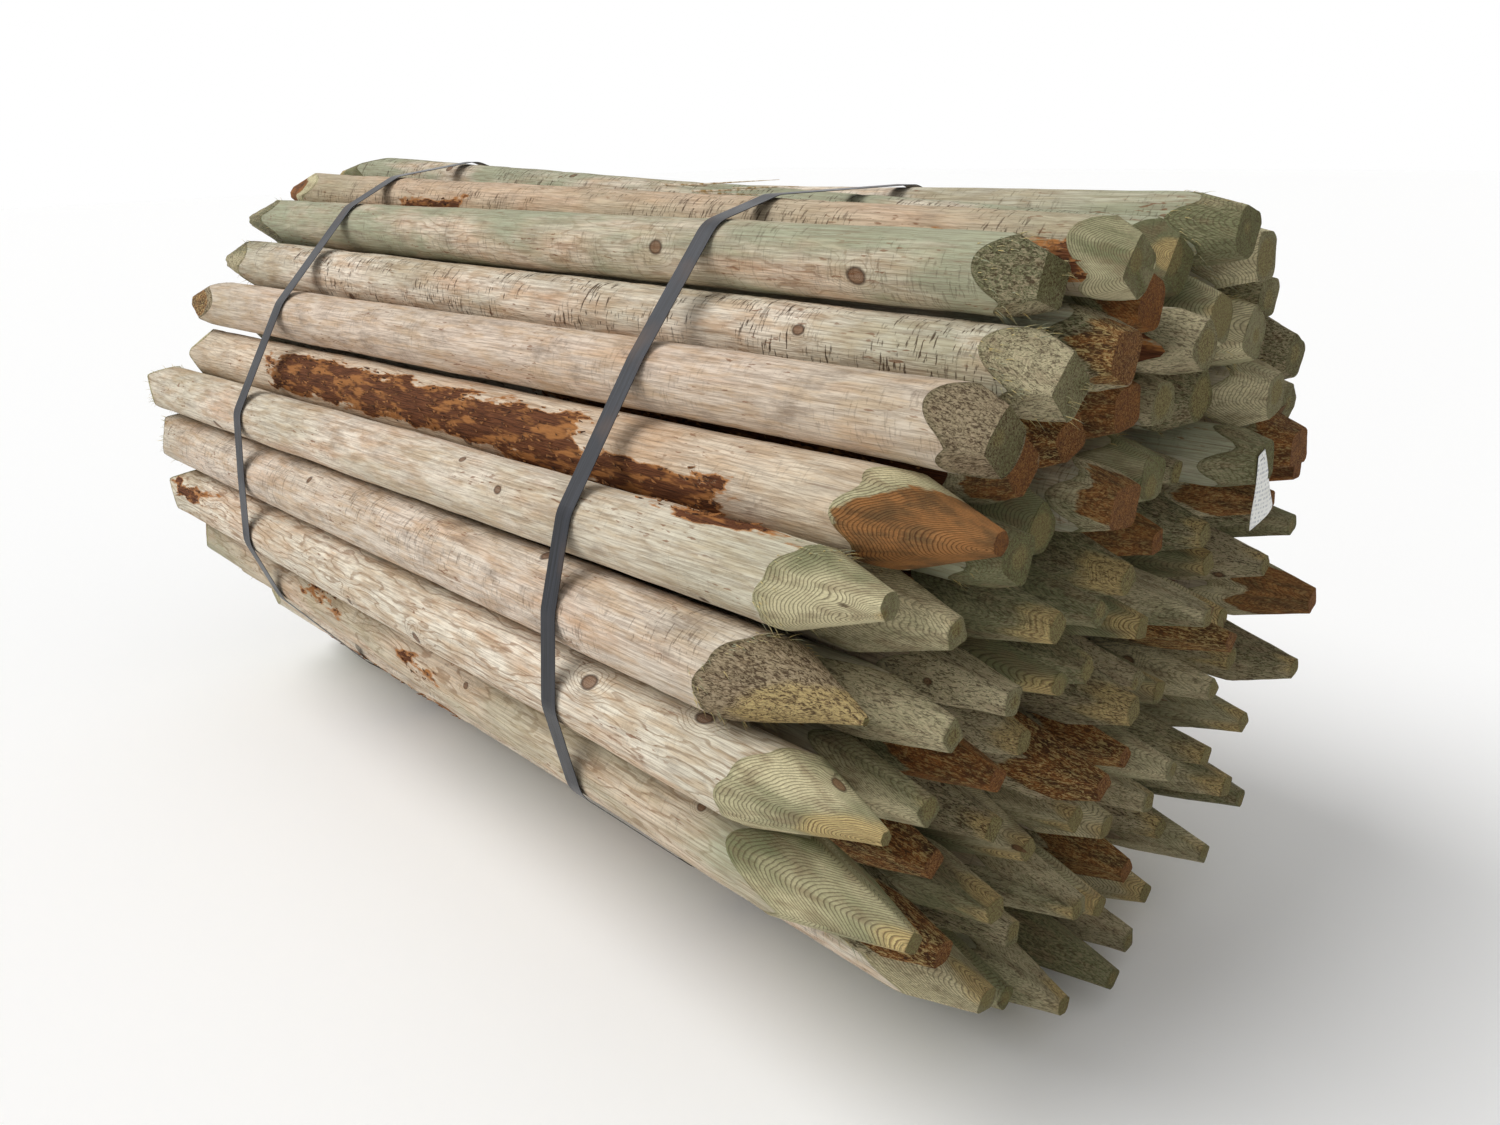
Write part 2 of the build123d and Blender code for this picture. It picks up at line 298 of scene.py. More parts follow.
class Post:
    """A post's axis, taper and saw cuts, measured on its solid."""

    def __init__(self, triangles):
        cross = np.cross(triangles[:, 1] - triangles[:, 0], triangles[:, 2] - triangles[:, 0])
        area = np.linalg.norm(cross, axis=1)
        normal = cross / area[:, None]
        self.fit_the_round(triangles, normal, area)
        self.start, self.end = (triangles @ self.along).min(), (triangles @ self.along).max()
        self.find_the_cuts(triangles, normal, area)

    def fit_the_round(self, triangles, normal, area):
        """Find the axis and taper that most of the long flats agree on."""
        rightward = triangles[..., 0] > triangles[..., 0].mean()
        along = triangles[rightward].mean(axis=0) - triangles[~rightward].mean(axis=0)
        along /= np.linalg.norm(along)
        trusted = np.ones(len(area), dtype=bool)
        for _ in range(passes_over_the_flats):
            flats = trusted & (abs(normal @ along) < flat_slope)
            spread = (normal[flats] * area[flats, None]).T @ normal[flats]
            along = np.linalg.eigh(spread)[1][:, 0]
            along *= np.sign(along[0])
            side = np.cross((0.0, 0.0, 1.0), along)
            side /= np.linalg.norm(side)
            up = np.cross(along, side)
            corners, facing = triangles[flats].reshape(-1, 3), np.repeat(normal[flats], 3, axis=0)
            over, above = facing @ side, facing @ up
            known = np.column_stack([over, above, np.ones(len(corners)), corners @ along])
            reach = over * (corners @ side) + above * (corners @ up)
            weight = np.sqrt(np.repeat(area[flats], 3))
            for _ in range(fits_a_pass):
                fitted = np.linalg.lstsq(known * weight[:, None], reach * weight, rcond=None)[0]
                miss = np.maximum(abs(known @ fitted - reach), smallest_miss)
                weight = np.sqrt(np.repeat(area[flats], 3) / miss)
            trusted[np.flatnonzero(flats)] = miss.reshape(-1, 3).max(axis=1) < flat_tolerance
        middle_side, middle_up, self.radius, self.taper = fitted
        self.along, self.side, self.up = along, side, up
        self.middle = middle_side * side + middle_up * up

    def find_the_cuts(self, triangles, normal, area):
        """Keep one plane for each saw cut: its bearing, its reach and its slope along the axis."""
        slope = normal @ self.along
        sloping = (abs(slope) > flat_slope) & (abs(slope) < end_slope)
        self.cuts = {-1: [], 1: []}
        largest_first = np.argsort(-area * sloping)[:sloping.sum()]
        for facing, corner in zip(normal[largest_first], triangles[largest_first, 0]):
            along, side, up = facing @ self.along, facing @ self.side, facing @ self.up
            level, bearing = math.hypot(side, up), math.atan2(up, side)
            reach = facing @ (corner - self.middle) / level
            found = self.cuts[int(np.sign(along))]
            if all(math.cos(bearing - other) < math.cos(least_turn_between_cuts) for other, _, _ in found):
                found.append((bearing, reach, -along / level))
        tips = {
            end: min(reach + slope * (self.start, self.end)[end > 0] for _, reach, slope in cuts)
            for end, cuts in self.cuts.items()
        }
        self.pointed_end = min(tips, key=tips.get)

    def round(self, place):
        """The radius of the round at a place along the axis."""
        return self.radius + self.taper * place

    def sawn(self, end, bearing, place, wear):
        """How far the saw cuts at one end let the wood reach out, with their edges worn off."""
        reach = np.full(np.broadcast(bearing, place).shape, far_out)
        for facing, here, slope in self.cuts[end]:
            towards = np.cos(bearing - facing)
            level = (here + slope * place) / np.maximum(towards, least_towards)
            level = np.where(towards > least_towards, level, far_out)
            overlap = np.maximum(wear - abs(reach - level), 0) / wear
            reach = np.minimum(reach, level) - overlap * overlap * wear / 4
        return reach


rows = {
    name: [Post(triangles) for triangles in loose_posts(node)]
    for name, node in sorted(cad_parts.items())
    if name.startswith("posts_row")
}
radii = [post.round(0) for posts in rows.values() for post in posts]
print("posts:", len(radii), "radii", round(min(radii), 4), "to", round(max(radii), 4), "m")
cut_counts = {len(cuts) for posts in rows.values() for post in posts for cuts in post.cuts.values()}
print("cuts an end:", cut_counts)

# %% [markdown]
# ## How each post looks
#
# No two posts are alike. Ten lie in full view and were matched to the photograph: how green
# the treatment left them, how nicked they are, and where bark was left on. The others draw lots
# from a fixed seed, so that every run gives the same bundle.

# %% Choose the looks of the posts in view
look_seed = 11
looks = {
    (13, 1): {"green": 0.95, "nicks": 0.80, "tan": 0.20, "grey": 0.10, "rough": 0.3, "splintered": 1},
    (13, 0): {"green": 0.36, "nicks": 0.80, "tan": 0.80, "grey": 0.10, "rough": 0.1, "brown": "left"},
    (12, 0): {"green": 0.90, "nicks": 0.35, "tan": 0.40, "grey": 0.00, "rough": 0.8, "torn": 0.6,
              "heart": 0.0},
    (11, 0): {"green": 0.38, "nicks": 1.00, "tan": 0.10, "grey": 0.20, "rough": 0.7, "torn": 1.0,
              "heart": 0.0},
    (10, 0): {"green": 0.12, "nicks": 0.25, "tan": 0.45, "grey": 0.90, "rough": 0.9, "brown": "left",
              "heart": 0.2},
    (9, 0): {"green": 0.08, "nicks": 0.20, "tan": 0.40, "grey": 0.00, "rough": 0.2, "brown": "right",
             "pith": 0.012, "pith_facing": 3.8, "brown_heart": 0.86, "figure": 0.4},
    (8, 0): {"green": 0.30, "nicks": 0.15, "tan": 0.10, "grey": 0.30, "rough": 0.0, "heart": 0.1,
             "wear": (0.010, 0.034), "figure": 0.3},
    (7, 0): {"green": 0.12, "nicks": 0.50, "tan": 0.05, "grey": 0.90, "rough": 1.0, "torn": 0.8,
             "heart": 0.62, "pith": 0.010, "pith_facing": 4.0, "wear": (0.010, 0.034)},
    (6, 0): {"green": 0.18, "nicks": 0.15, "tan": 0.00, "grey": 0.05, "rough": 0.1, "heart": 0.42,
             "pith": 0.006, "pith_facing": 4.2, "wear": (0.010, 0.034), "figure": 0.9},
    (5, 0): {"green": 0.45, "nicks": 0.20, "tan": 0.50, "grey": 0.10, "rough": 0.1, "heart": 0.34,
             "figure": 0.9},
}
# Posts whose right end shows brown heartwood, as (row, place)
brown_ends = {
    (2, 2), (4, 0), (5, 1), (5, 3), (5, 4), (5, 6), (5, 8), (6, 2), (7, 5), (7, 7), (7, 9),
    (8, 7), (9, 3), (10, 1), (10, 2), (10, 3), (11, 1), (12, 1),
}
# Strips of bark left on: from and to along the post as shares of its length, the bearing they
# face round it in degrees (0 away from the camera side, 90 up, 180 towards it), half their width
bark_strips = {
    (13, 0): [(0.80, 0.985, 188, 0.020), (0.28, 0.36, 175, 0.010)],
    (13, 1): [(0.90, 0.98, 200, 0.010)],
    (11, 2): [(0.90, 0.99, 184, 0.030)],
    (9, 0): [(0.22, 0.69, 158, 0.038), (0.60, 0.82, 190, 0.030)],
    (8, 0): [(0.81, 0.93, 82, 0.012)],
    (8, 2): [(0.80, 0.92, 160, 0.030)],
    (6, 0): [(0.05, 0.12, 150, 0.012)],
    (5, 0): [(0.49, 0.54, 168, 0.010), (0.31, 0.36, 148, 0.009)],
    (10, 1): [(0.60, 0.97, 190, 0.040)],
}
# Knots that show in the photograph: share of the post's length, bearing in degrees, radius
knots_in_view = {
    (12, 0): [(0.714, 168, 0.010), (0.890, 190, 0.011)],
    (11, 0): [(0.836, 151, 0.007)],
    (8, 0): [(0.633, 118, 0.005), (0.690, 150, 0.006)],
    (6, 0): [(0.776, 126, 0.011), (0.872, 98, 0.010), (0.965, 68, 0.008)],
    (5, 0): [(0.853, 125, 0.005), (0.590, 150, 0.005)],
}
no_knot = (far_out, far_out, 0.01)
knot_reach = 0.055
pointed_wear = (0.008, 0.018)
blunt_wear = (0.020, 0.034)
# What the other posts draw by lot, from and to, and the shares of them that get a feature
look_ranges = {
    "green": (0.15, 0.9), "nicks": (0, 0.6), "tan": (0, 0.8), "grey": (0, 0.8), "seed": (0, 50),
    "rough": (0.2, 0.9), "stain": (0.7, 1.0), "heart": (0.15, 0.55), "brown_heart": (0.72, 0.92),
    "pith": (0, 0.008), "pith_facing": (0, math.tau), "figure": (0.1, 0.8),
}
brown_left_share, torn_share, bark_share = 0.2, 0.25, 0.35
torn_range = (0.3, 0.8)
strip_start, strip_length, strip_half_width = (0.05, 0.7), (0.05, 0.3), 0.014


def look_of(row, spot, post, pick):
    """The looks of one post: listed where it is in view, drawn by lot elsewhere."""
    look = {title: pick.uniform(*limits) for title, limits in look_ranges.items()}
    look |= {"grey": look["grey"] ** 2, "brown": "none", "torn": 0.0, "splintered": 0}
    if (row, spot) in brown_ends:
        look["brown"] = "right"
    elif pick.random() < brown_left_share:
        look["brown"] = "left"
    if pick.random() < torn_share:
        look["torn"] = pick.uniform(*torn_range)
    strips = []
    if pick.random() < bark_share:
        start = pick.uniform(*strip_start)
        end = start + pick.uniform(*strip_length)
        strips.append((start, end, pick.uniform(0, 360), strip_half_width))
    look["bark"] = bark_strips.get((row, spot), [] if (row, spot) in looks else strips)
    look["knots"] = knots_in_view.get((row, spot), [])
    wears = [pointed_wear if end == post.pointed_end else blunt_wear for end in (-1, 1)]
    look["wear"] = [pick.uniform(*wear) for wear in wears]
    return look | looks.get((row, spot), {})


print("looks chosen by hand for", len(looks), "posts, the others from seed", look_seed)

# %% [markdown]
# ## A skin that follows the saw cuts
#
# The skin is a net of rows along the post and columns round it. At each end the columns start at
# the edges between cuts, and the rows close up on the line where the cuts leave the round. Every
# edge of the saw is then an edge of the net, and stays crisp however few faces there are. Posts
# in view get a fine net, and those deep in the bundle a coarse one.

# %% Choose how fine the nets are: columns, rows on a cut, rows from there, rows along the body
nets = {"in view": (64, 20, 5, 110), "outside": (48, 9, 3, 44), "inside": (36, 8, 2, 22)}
cap_rings = 2
rim_cap = 0.5
splinter_place, splinter_reach, splinter_bearing, splinter_half_angle = 0.60, 0.06, 135, 0.5
least_cut = 0.002
longest_cut = 0.45
halvings = 30
past_the_cuts = 0.03
outside_distance = 0.43
low_rows_in_view = 4
far_from_bark = -0.05
bark_end_slant = 0.3
cap_middle_cut = 0.1
torn_place, torn_spread = 0.006, 0.012
flaky_bark, flaky_cut = -0.004, -0.01
for title, (columns, on_cut, from_cut, on_body) in nets.items():
    print("net", title, "has", 2 * (cap_rings + on_cut + from_cut) + on_body + 1, "rows of", columns)


# %% Lay out the columns and the line of the cuts at one end
def sawn_end(post, end, columns, wear):
    """At one end: each column's bearing, and where along the post the cuts leave the round."""
    at = post.start if end < 0 else post.end
    cuts = sorted(post.cuts[end])
    inside = at - end * past_the_cuts
    edges = []
    for (b1, r1, s1), (b2, r2, s2) in zip(cuts, cuts[1:] + cuts[:1]):
        g1, g2 = r1 + s1 * inside, r2 + s2 * inside
        top = g2 * math.cos(b1) - g1 * math.cos(b2)
        bottom = g1 * math.sin(b2) - g2 * math.sin(b1)
        edge = math.atan2(top, bottom)
        halfway = b1 + ((b2 - b1) % math.tau) / 2
        if math.cos(edge - halfway) < 0:
            edge += math.pi
        edges.append(edge)
    firsts = [columns * edge // len(edges) for edge in range(len(edges) + 1)]
    bearings = np.concatenate([
        edge + ((after - edge) % math.tau) * np.arange(last - first) / (last - first)
        for edge, after, first, last in zip(edges, edges[1:] + edges[:1], firsts, firsts[1:])
    ])
    outer = np.full(columns, at - end * least_cut)
    inner = outer - end * longest_cut
    for _ in range(halvings):
        line = (outer + inner) / 2
        on_cut = post.sawn(end, bearings, line, wear) < post.round(line)
        outer, inner = np.where(on_cut, line, outer), np.where(on_cut, inner, line)
    return bearings, line


first_post = rows["posts_row_01"][0]
_, first_line = sawn_end(first_post, 1, 12, pointed_wear[0])
print("the first post's right cuts are", round(first_post.end - first_line.min(), 3), "m long")


# %% Lay the rows of a net and join them with faces
def turn_from(here, there):
    """The shortest turn from one bearing to another."""
    return (here - there + math.pi) % math.tau - math.pi


def turned_to_match(left, right):
    """The right end's columns, started where they twist least from the left end's."""
    columns = len(left)
    shifts = [np.roll(right, -shift) for shift in range(columns)]
    twists = [turn_from(shifted, left) for shifted in shifts]
    best = min(range(columns), key=lambda shift: (twists[shift] ** 2).sum())
    return best, left + twists[best]


def end_rows(post, end, bearing, line, common, wear, on_cut, from_cut):
    """Rows from the cap of one end to the body: place, bearing, reach, how far past the line, cap."""
    at = post.start if end < 0 else post.end

    def reach(place):
        return np.minimum(post.sawn(end, bearing, place, wear), post.round(place))

    rows = [(at, reach(at) * (ring + 1) / (cap_rings + 1), 1.0) for ring in range(cap_rings)]
    for row in range(on_cut):
        place = at + (line - at) * row / on_cut
        rows.append((place, reach(place), rim_cap * (row == 0)))
    for row in range(from_cut):
        place = line + (common - line) * row / from_cut
        rows.append((place, post.round(place), 0.0))
    return [(place, bearing, reach, end * (place - line), cap) for place, reach, cap in rows]


def net_rows(post, look, fineness):
    """All rows of a post's net, from its left end to its right end, and its crisp rows."""
    columns, on_cut, from_cut, on_body = nets[fineness]
    left_wear, right_wear = look["wear"]
    left, left_line = sawn_end(post, -1, columns, left_wear)
    right, right_line = sawn_end(post, 1, columns, right_wear)
    roll, right = turned_to_match(left, right)
    right_line = np.roll(right_line, -roll)
    first, last = left_line.max() + past_the_cuts, right_line.min() - past_the_cuts
    rows = end_rows(post, -1, left, left_line, first, left_wear, on_cut, from_cut)
    for row in range(on_body + 1):
        along = row / on_body
        place = first + (last - first) * along
        bearing = left + (right - left) * along * along * (3 - 2 * along)
        nearest = np.maximum(left_line - place, place - right_line)
        rows.append((place, bearing, post.round(place), nearest, 0.0))
    rows += reversed(end_rows(post, 1, right, right_line, last, right_wear, on_cut, from_cut))
    edge_rows = [cap_rings, cap_rings + on_cut, -1 - cap_rings - on_cut, -1 - cap_rings]
    table = [np.array([np.broadcast_to(value, columns) for value in values]) for values in zip(*rows)]
    return table, [edge % len(rows) for edge in edge_rows]


def net_faces(count, columns, edge_rows):
    """The quads between rows, the fans that close both ends, and the crisp edges."""
    turn = np.arange(columns)
    next_turn = (turn + 1) % columns
    firsts = np.arange(count - 1)[:, None] * columns
    here, after = (firsts + turn).ravel(), (firsts + next_turn).ravel()
    quads = np.stack([here, after, after + columns, here + columns], axis=1)
    last = (count - 1) * columns
    left_fan = np.stack([np.full(columns, count * columns), next_turn, turn], axis=1)
    right_fan = np.stack([np.full(columns, count * columns + 1), last + turn, last + next_turn], axis=1)
    crisp = [np.stack([edge * columns + turn, edge * columns + next_turn], axis=1) for edge in edge_rows]
    return quads, np.vstack([left_fan, right_fan]), np.vstack(crisp)


small_quads, small_fans, _ = net_faces(3, 4, [0])
print("3 rows of 4 columns make", len(small_quads), "quads, and", len(small_fans), "triangles close them")


# %% Work out bark and knots
def bark_depth(strips, post, along, bearing, length):
    """How far each point is inside a strip of bark, below 0 outside."""
    bark = np.full(len(bearing), far_from_bark)
    for first, final, facing, half_width in strips:
        sideways = half_width - abs(turn_from(bearing, math.radians(facing))) * post.radius
        lengthways = (final - first) / 2 * length - abs(along - (first + final) / 2 * length)
        bark = np.maximum(bark, np.minimum(sideways, lengthways * bark_end_slant))
    return bark


def offset_from_knot(knots, post, along, bearing, length):
    """The way from the nearest knot to each point: along, around, and the knot's radius."""
    nearest = np.tile(no_knot, (len(bearing), 1))
    for share, facing, size in knots:
        around = turn_from(bearing, math.radians(facing)) * post.radius
        offset = np.stack([along - share * length, around, np.full(len(bearing), size)], axis=-1)
        away = np.hypot(offset[:, 0], offset[:, 1])
        nearer = (away < knot_reach) & (away < np.hypot(nearest[:, 0], nearest[:, 1]))
        nearest = np.where(nearer[:, None], offset, nearest)
    return nearest


counts = [sum(map(len, chosen.values())) for chosen in (bark_strips, knots_in_view)]
print("strips of bark and knots placed by hand:", counts)


# %% Build the net of one post
def post_net(post, look, fineness):
    """One post's vertices, faces, crisp edges and the values that its materials read."""
    (places, bearings, reaches, cut_by, caps), edge_rows = net_rows(post, look, fineness)
    quads, fans, crisp = net_faces(*places.shape, edge_rows)
    length = post.end - post.start
    across = np.stack([reaches * np.cos(bearings), reaches * np.sin(bearings)], axis=-1)
    in_post = np.concatenate([across, (places - post.start)[..., None]], axis=-1).reshape(-1, 3)
    in_post = np.vstack([in_post, (0, 0, 0), (0, 0, length)])
    points = post.middle + in_post[:, :1] * post.side + in_post[:, 1:2] * post.up
    points = points + (in_post[:, 2:] + post.start) * post.along

    along, bearing = in_post[:, 2], np.append(bearings, (0, 0))
    where = post, along, bearing, length
    bark = bark_depth(look["bark"], *where)
    cut = np.append(cut_by, (cap_middle_cut, cap_middle_cut))
    browned = {"left": along < length / 2, "right": along > length / 2}
    stain = browned.get(look["brown"], np.zeros(len(points))) * look["stain"]
    heart = look["heart"] + (look["brown_heart"] - look["heart"]) * (stain > 0)
    around = turn_from(bearing, math.radians(splinter_bearing))
    from_splinters = abs(along / length - splinter_place)
    splintered = (abs(around) < splinter_half_angle) & (from_splinters < splinter_reach)
    pith_facing = look["pith_facing"]
    same_all_over = {
        "traits": (look["green"], look["nicks"], look["seed"]),
        "finish": (look["tan"], look["grey"], look["rough"]),
        "pith": look["pith"] * np.array((math.cos(pith_facing), math.sin(pith_facing), 0)),
        "along": post.along,
        "figure": look["figure"],
    }
    return {title: np.tile(value, (len(points), 1)) for title, value in same_all_over.items()} | {
        "points": points, "quads": quads, "fans": fans, "crisp": crisp, "in_post": in_post, "cut": cut,
        "cap": np.append(caps, (1.0, 1.0)), "knot_offset": offset_from_knot(look["knots"], *where),
        "torn": np.exp(-(((cut - torn_place) / torn_spread) ** 2)) * look["torn"],
        "bark": bark, "flaky": (bark > flaky_bark) * (cut < flaky_cut) * 1.0,
        "stain": stain, "heart": heart * post.radius, "splintered": splintered * look["splintered"],
    }


sample = post_net(first_post, look_of(1, 0, first_post, random.Random(look_seed)), "outside")
print("net of the first post:", len(sample["points"]), "points,", len(sample["quads"]), "quads")

# %% [markdown]
# ## Join a row's nets into one mesh
#
# The values that the materials need travel with the mesh as attributes: where a point lies inside
# its own post, how far it is past the line of a cut, how near it is to bark. Object coordinates
# can't tell one post from the next, and attributes can, so the grain turns with each post.


# %% Make the mesh of a row
carried_values = ("in_post", "traits", "finish", "pith", "along", "knot_offset", "cut", "cap", "bark",
                  "torn", "heart", "stain", "figure", "flaky", "splintered")


def smooth_mesh(name, points, faces):
    """A smoothly shaded mesh."""
    mesh = bpy.data.meshes.new(name)
    mesh.from_pydata(np.array(points).tolist(), [], faces)
    mesh.shade_smooth()
    return mesh


def row_mesh(name, posts, row, pick):
    """A row of posts as one mesh, with crisp saw edges and its values as attributes."""
    nets_here, base, crisp, faces = [], 0, [], []
    for spot, post in enumerate(posts):
        distance = math.hypot(*(post.middle - bundle_middle)[1:])
        in_view = (row, spot) in looks or (spot == 0 and row <= low_rows_in_view)
        fineness = "in view" if in_view else "outside" if distance > outside_distance else "inside"
        net = post_net(post, look_of(row, spot, post, pick), fineness)
        faces += (net["quads"] + base).tolist() + (net["fans"] + base).tolist()
        crisp.append(net["crisp"] + base)
        base += len(net["points"])
        nets_here.append(net)
    mesh = smooth_mesh(name, np.vstack([net["points"] for net in nets_here]), faces)
    for title in carried_values:
        values = np.concatenate([net[title] for net in nets_here]).astype(np.float32)
        form, kind = ("FLOAT_VECTOR", "vector") if values.shape[1:] == (3,) else ("FLOAT", "value")
        mesh.attributes.new(title, form, "POINT").data.foreach_set(kind, values.ravel())
    edges = np.empty(len(mesh.edges) * 2, dtype=np.int64)
    mesh.edges.foreach_get("vertices", edges)
    keys = np.sort(edges.reshape(-1, 2), axis=1) @ (base, 1)
    wanted = np.sort(np.vstack(crisp), axis=1) @ (base, 1)
    sharp = mesh.attributes.get("sharp_edge") or mesh.attributes.new("sharp_edge", "BOOLEAN", "EDGE")
    sharp.data.foreach_set("value", np.isin(keys, wanted))
    mesh.validate()
    return mesh


lowest, highest = (np.array(corner) for corner in solid_box)
bundle_middle = (lowest + highest) / 2
pick = random.Random(look_seed)
bare_rows = {}
for row, (name, posts) in enumerate(rows.items(), start=1):
    bare_rows[name] = row_mesh(name.replace("posts", "peeled_posts"), posts, row, pick)
print("faces in the rows:", {name[-2:]: len(mesh.polygons) for name, mesh in bare_rows.items()})

# %% [markdown]
# ## The colours of treated pine
#
# Peeled pine is cream to tan, and the treatment stains it a patchy grey green, most of all where
# it soaks in fastest: the ends and the sapwood. The colours are kept together here so that the
# materials further down can share them.

# %% Name the colours
cream = colour(254, 243, 224)
tan = colour(214, 184, 152)
warm_tan = colour(206, 156, 112)
figure_brown = colour(150, 106, 72)
streak_brown = colour(126, 98, 74)
treated_green = colour(168, 174, 146)
pale_green = colour(228, 218, 176)
deep_green = colour(134, 138, 100)
rim_green = colour(96, 98, 68)
cap_green = colour(112, 114, 70)
drab_brown = colour(140, 116, 88)
pink_grey = colour(226, 208, 194)
weathered = colour(138, 122, 108)
heart_tan = colour(186, 154, 104)
heart_yellow = colour(222, 200, 136)
# A pale tan painted on raised torn fibres as a highlight
torn_highlight_tan = colour(200, 180, 150)
cap_orange = colour(134, 86, 42)
latewood_brown = colour(78, 66, 44)
stained_line = colour(62, 36, 20)
stained_orange = colour(160, 100, 50)
stained_brown = colour(88, 54, 30)
knot_brown = colour(128, 84, 54)
knot_dark = colour(70, 44, 30)
bark_brown = colour(116, 72, 46)
bark_dark = colour(60, 38, 28)
inner_bark = colour(176, 120, 70)
# Dark brown for nicks and fibre streaks, and for painted shade in the hollows of torn end grain
mark_and_shade_brown = colour(70, 51, 36)
print("colours are ready")

# %% [markdown]
# ## Growth rings
#
# A tree lays down one shell of wood a year round its pith, and branches grow outwards through the
# shells as knots. A flat picture of rings would not join up round an edge, so the shells here are
# a solid texture: distance from a wandering pith, bent aside near each branch. Cut at a slant by
# a saw it gives the nested arches of a sharpened post, and on the round it gives long flames.


# %% Make the growth ring group
def growth_group():
    """Rings and knots from a place inside the post and the post's own seed."""
    tree, given = new_group("growth_rings", "ShaderNodeTree", {
        "In Post": ("Vector", None), "Pith": ("Vector", None), "Seed": ("Float", 0.0),
        "Knot Offset": ("Vector", None), "Ring Width": ("Float", 0.0016), "Pith Wander": ("Float", 0.012),
        "Knot Spacing": ("Float", 0.115), "Knot Size": ("Float", 0.0085),
    })
    in_post, seed, spacing = given["In Post"], given["Seed"], given["Knot Spacing"]
    up_post = split(in_post)[2]
    seeded = joined(tree, x=seed * 7.31, z=up_post * 1.6)
    wander = place(tree, "ShaderNodeTexNoise", {"Vector": seeded, "Scale": 1.0, "Detail": 1.0})["Color"]
    pith = given["Pith"] + (wander - (0.5, 0.5, 0.5)) * given["Pith Wander"]
    across = (in_post - pith) * (1.0, 1.0, 0.0)
    from_pith = maths("LENGTH", across)

    branch_place = maths("NORMALIZE", across) * 0.05 + joined(tree, x=seed, z=up_post + 3.0)
    feeds = {"Vector": branch_place, "Scale": 1.0 / spacing, "Randomness": 0.9}
    branches = place(tree, "ShaderNodeTexVoronoi", feeds)
    own = place(tree, "ShaderNodeSeparateColor", {0: branches["Color"]})[0]
    size = given["Knot Size"] * ramp(own, 0.0, 1.0, 0.3, 1.2)
    from_placed = maths("LENGTH", given["Knot Offset"] * (0.8, 1.0, 0.0))
    placed_size = split(given["Knot Offset"])[2]
    in_knot = maths("MINIMUM", branches["Distance"] * spacing / size, from_placed / placed_size)
    knot = ramp(in_knot, 0.85, 1.1, 1.0, 0.0)
    rim = ramp(in_knot, 0.7, 0.95) * ramp(in_knot, 1.05, 1.35, 1.0, 0.0)
    near = ramp(in_knot, 0.9, 3.6, 1.0, 0.0)

    ripple = noise(in_post * (26.0, 26.0, 4.5) + seeded)
    jitter = noise(in_post * (260.0, 260.0, 40.0), detail=1.0)
    bent = from_pith + near * 0.005 + ripple * 0.009 + jitter * 0.0005
    turns = between(knot, bent, in_knot * given["Knot Size"]) / given["Ring Width"]
    share = maths("FRACT", turns)
    late = ramp(share, 0.50, 0.88) * ramp(share, 0.92, 1.0, 1.0, 0.0)
    feeds = {"W": turns * 0.45, "Detail": 1.0}
    year = place(tree, "ShaderNodeTexNoise", feeds, noise_dimensions="1D")[0]
    return give(tree, {"Late Wood": late, "Ring Tone": year, "Knot": knot, "Knot Rim": rim,
                       "From Pith": from_pith})


growth_rings = growth_group()
print("growth rings:", [item.name for item in growth_rings.interface.items_tree])

# %% [markdown]
# ## Marks of peeling, treatment and bark
#
# The peeling knife leaves short nicks across the grain and drags out fibres along it. The green
# of the treatment comes in clouds. Bark is left in strips with broken edges. Each of these is a
# mask made of noise stretched one way or the other, so one group can hold them all.


# %% Make the group of marks
def marks_group():
    """Masks for nicks, fibres, streaks, flecks, clouds, mottle, bark and torn wool."""
    tree, given = new_group("peeling_marks", "ShaderNodeTree", {
        "In Post": ("Vector", None), "Seed": ("Float", 0.0), "Bark Distance": ("Float", -1.0),
    })
    shift = joined(tree, x=given["Seed"], y=given["Seed"] * 1.7)

    def grain(across, along, *settings):
        """Noise with its own scale across and along the post, then detail, roughness, distortion."""
        return noise(given["In Post"] * (across, across, along) + shift, 1.0, *settings)

    wide_broken, fine_broken = grain(30.0, 11.0, 2.0, 0.6), grain(170.0, 60.0, 3.0, 0.65)
    in_bark = given["Bark Distance"] + ((wide_broken - 0.52) * 0.085 + (fine_broken - 0.5) * 0.020)
    bark = ramp(in_bark, 0.0, 0.0012)
    nick_cloud, hatch_cloud, fleck_cloud = grain(12.0, 9.0), grain(9.0, 5.0), grain(18.0, 7.0, 1.0)
    return give(tree, {
        "Nicks": ramp(grain(42.0, 230.0, 2.0, 0.6, 0.3), 0.57, 0.66) * ramp(nick_cloud, 0.40, 0.60),
        "Hatch": ramp(grain(34.0, 330.0, 2.0, 0.55, 0.5), 0.62, 0.66) * ramp(hatch_cloud, 0.50, 0.58),
        "Fibre": grain(900.0, 26.0, 2.0, 0.6),
        "Streaks": ramp(grain(330.0, 12.0, 4.0, 0.65), 0.44, 0.66),
        "Lines": ramp(grain(150.0, 3.5, 3.0, 0.6, 0.2), 0.60, 0.66),
        "Flecks": ramp(grain(210.0, 46.0), 0.62, 0.68) * ramp(fleck_cloud, 0.46, 0.64),
        "Cloud": grain(9.0, 2.6, 4.0, 0.6, 0.4),
        "Warmth": ramp(grain(17.0, 4.0, 3.0, 0.6, 0.5), 0.50, 0.72),
        "Bark": bark,
        "Bark Edge": ramp(in_bark, -0.007, -0.0005) * (1.0 - bark),
        "Mottle": grain(60.0, 14.0, 3.0, 0.6),
        "Smudge": ramp(grain(26.0, 11.0, 5.0, 0.7), 0.5, 0.72),
        "Wool": grain(360.0, 75.0, 4.0, 0.68, 1.0),
    })


peeling_marks = marks_group()
print("peeling marks:", [item.name for item in peeling_marks.interface.items_tree])

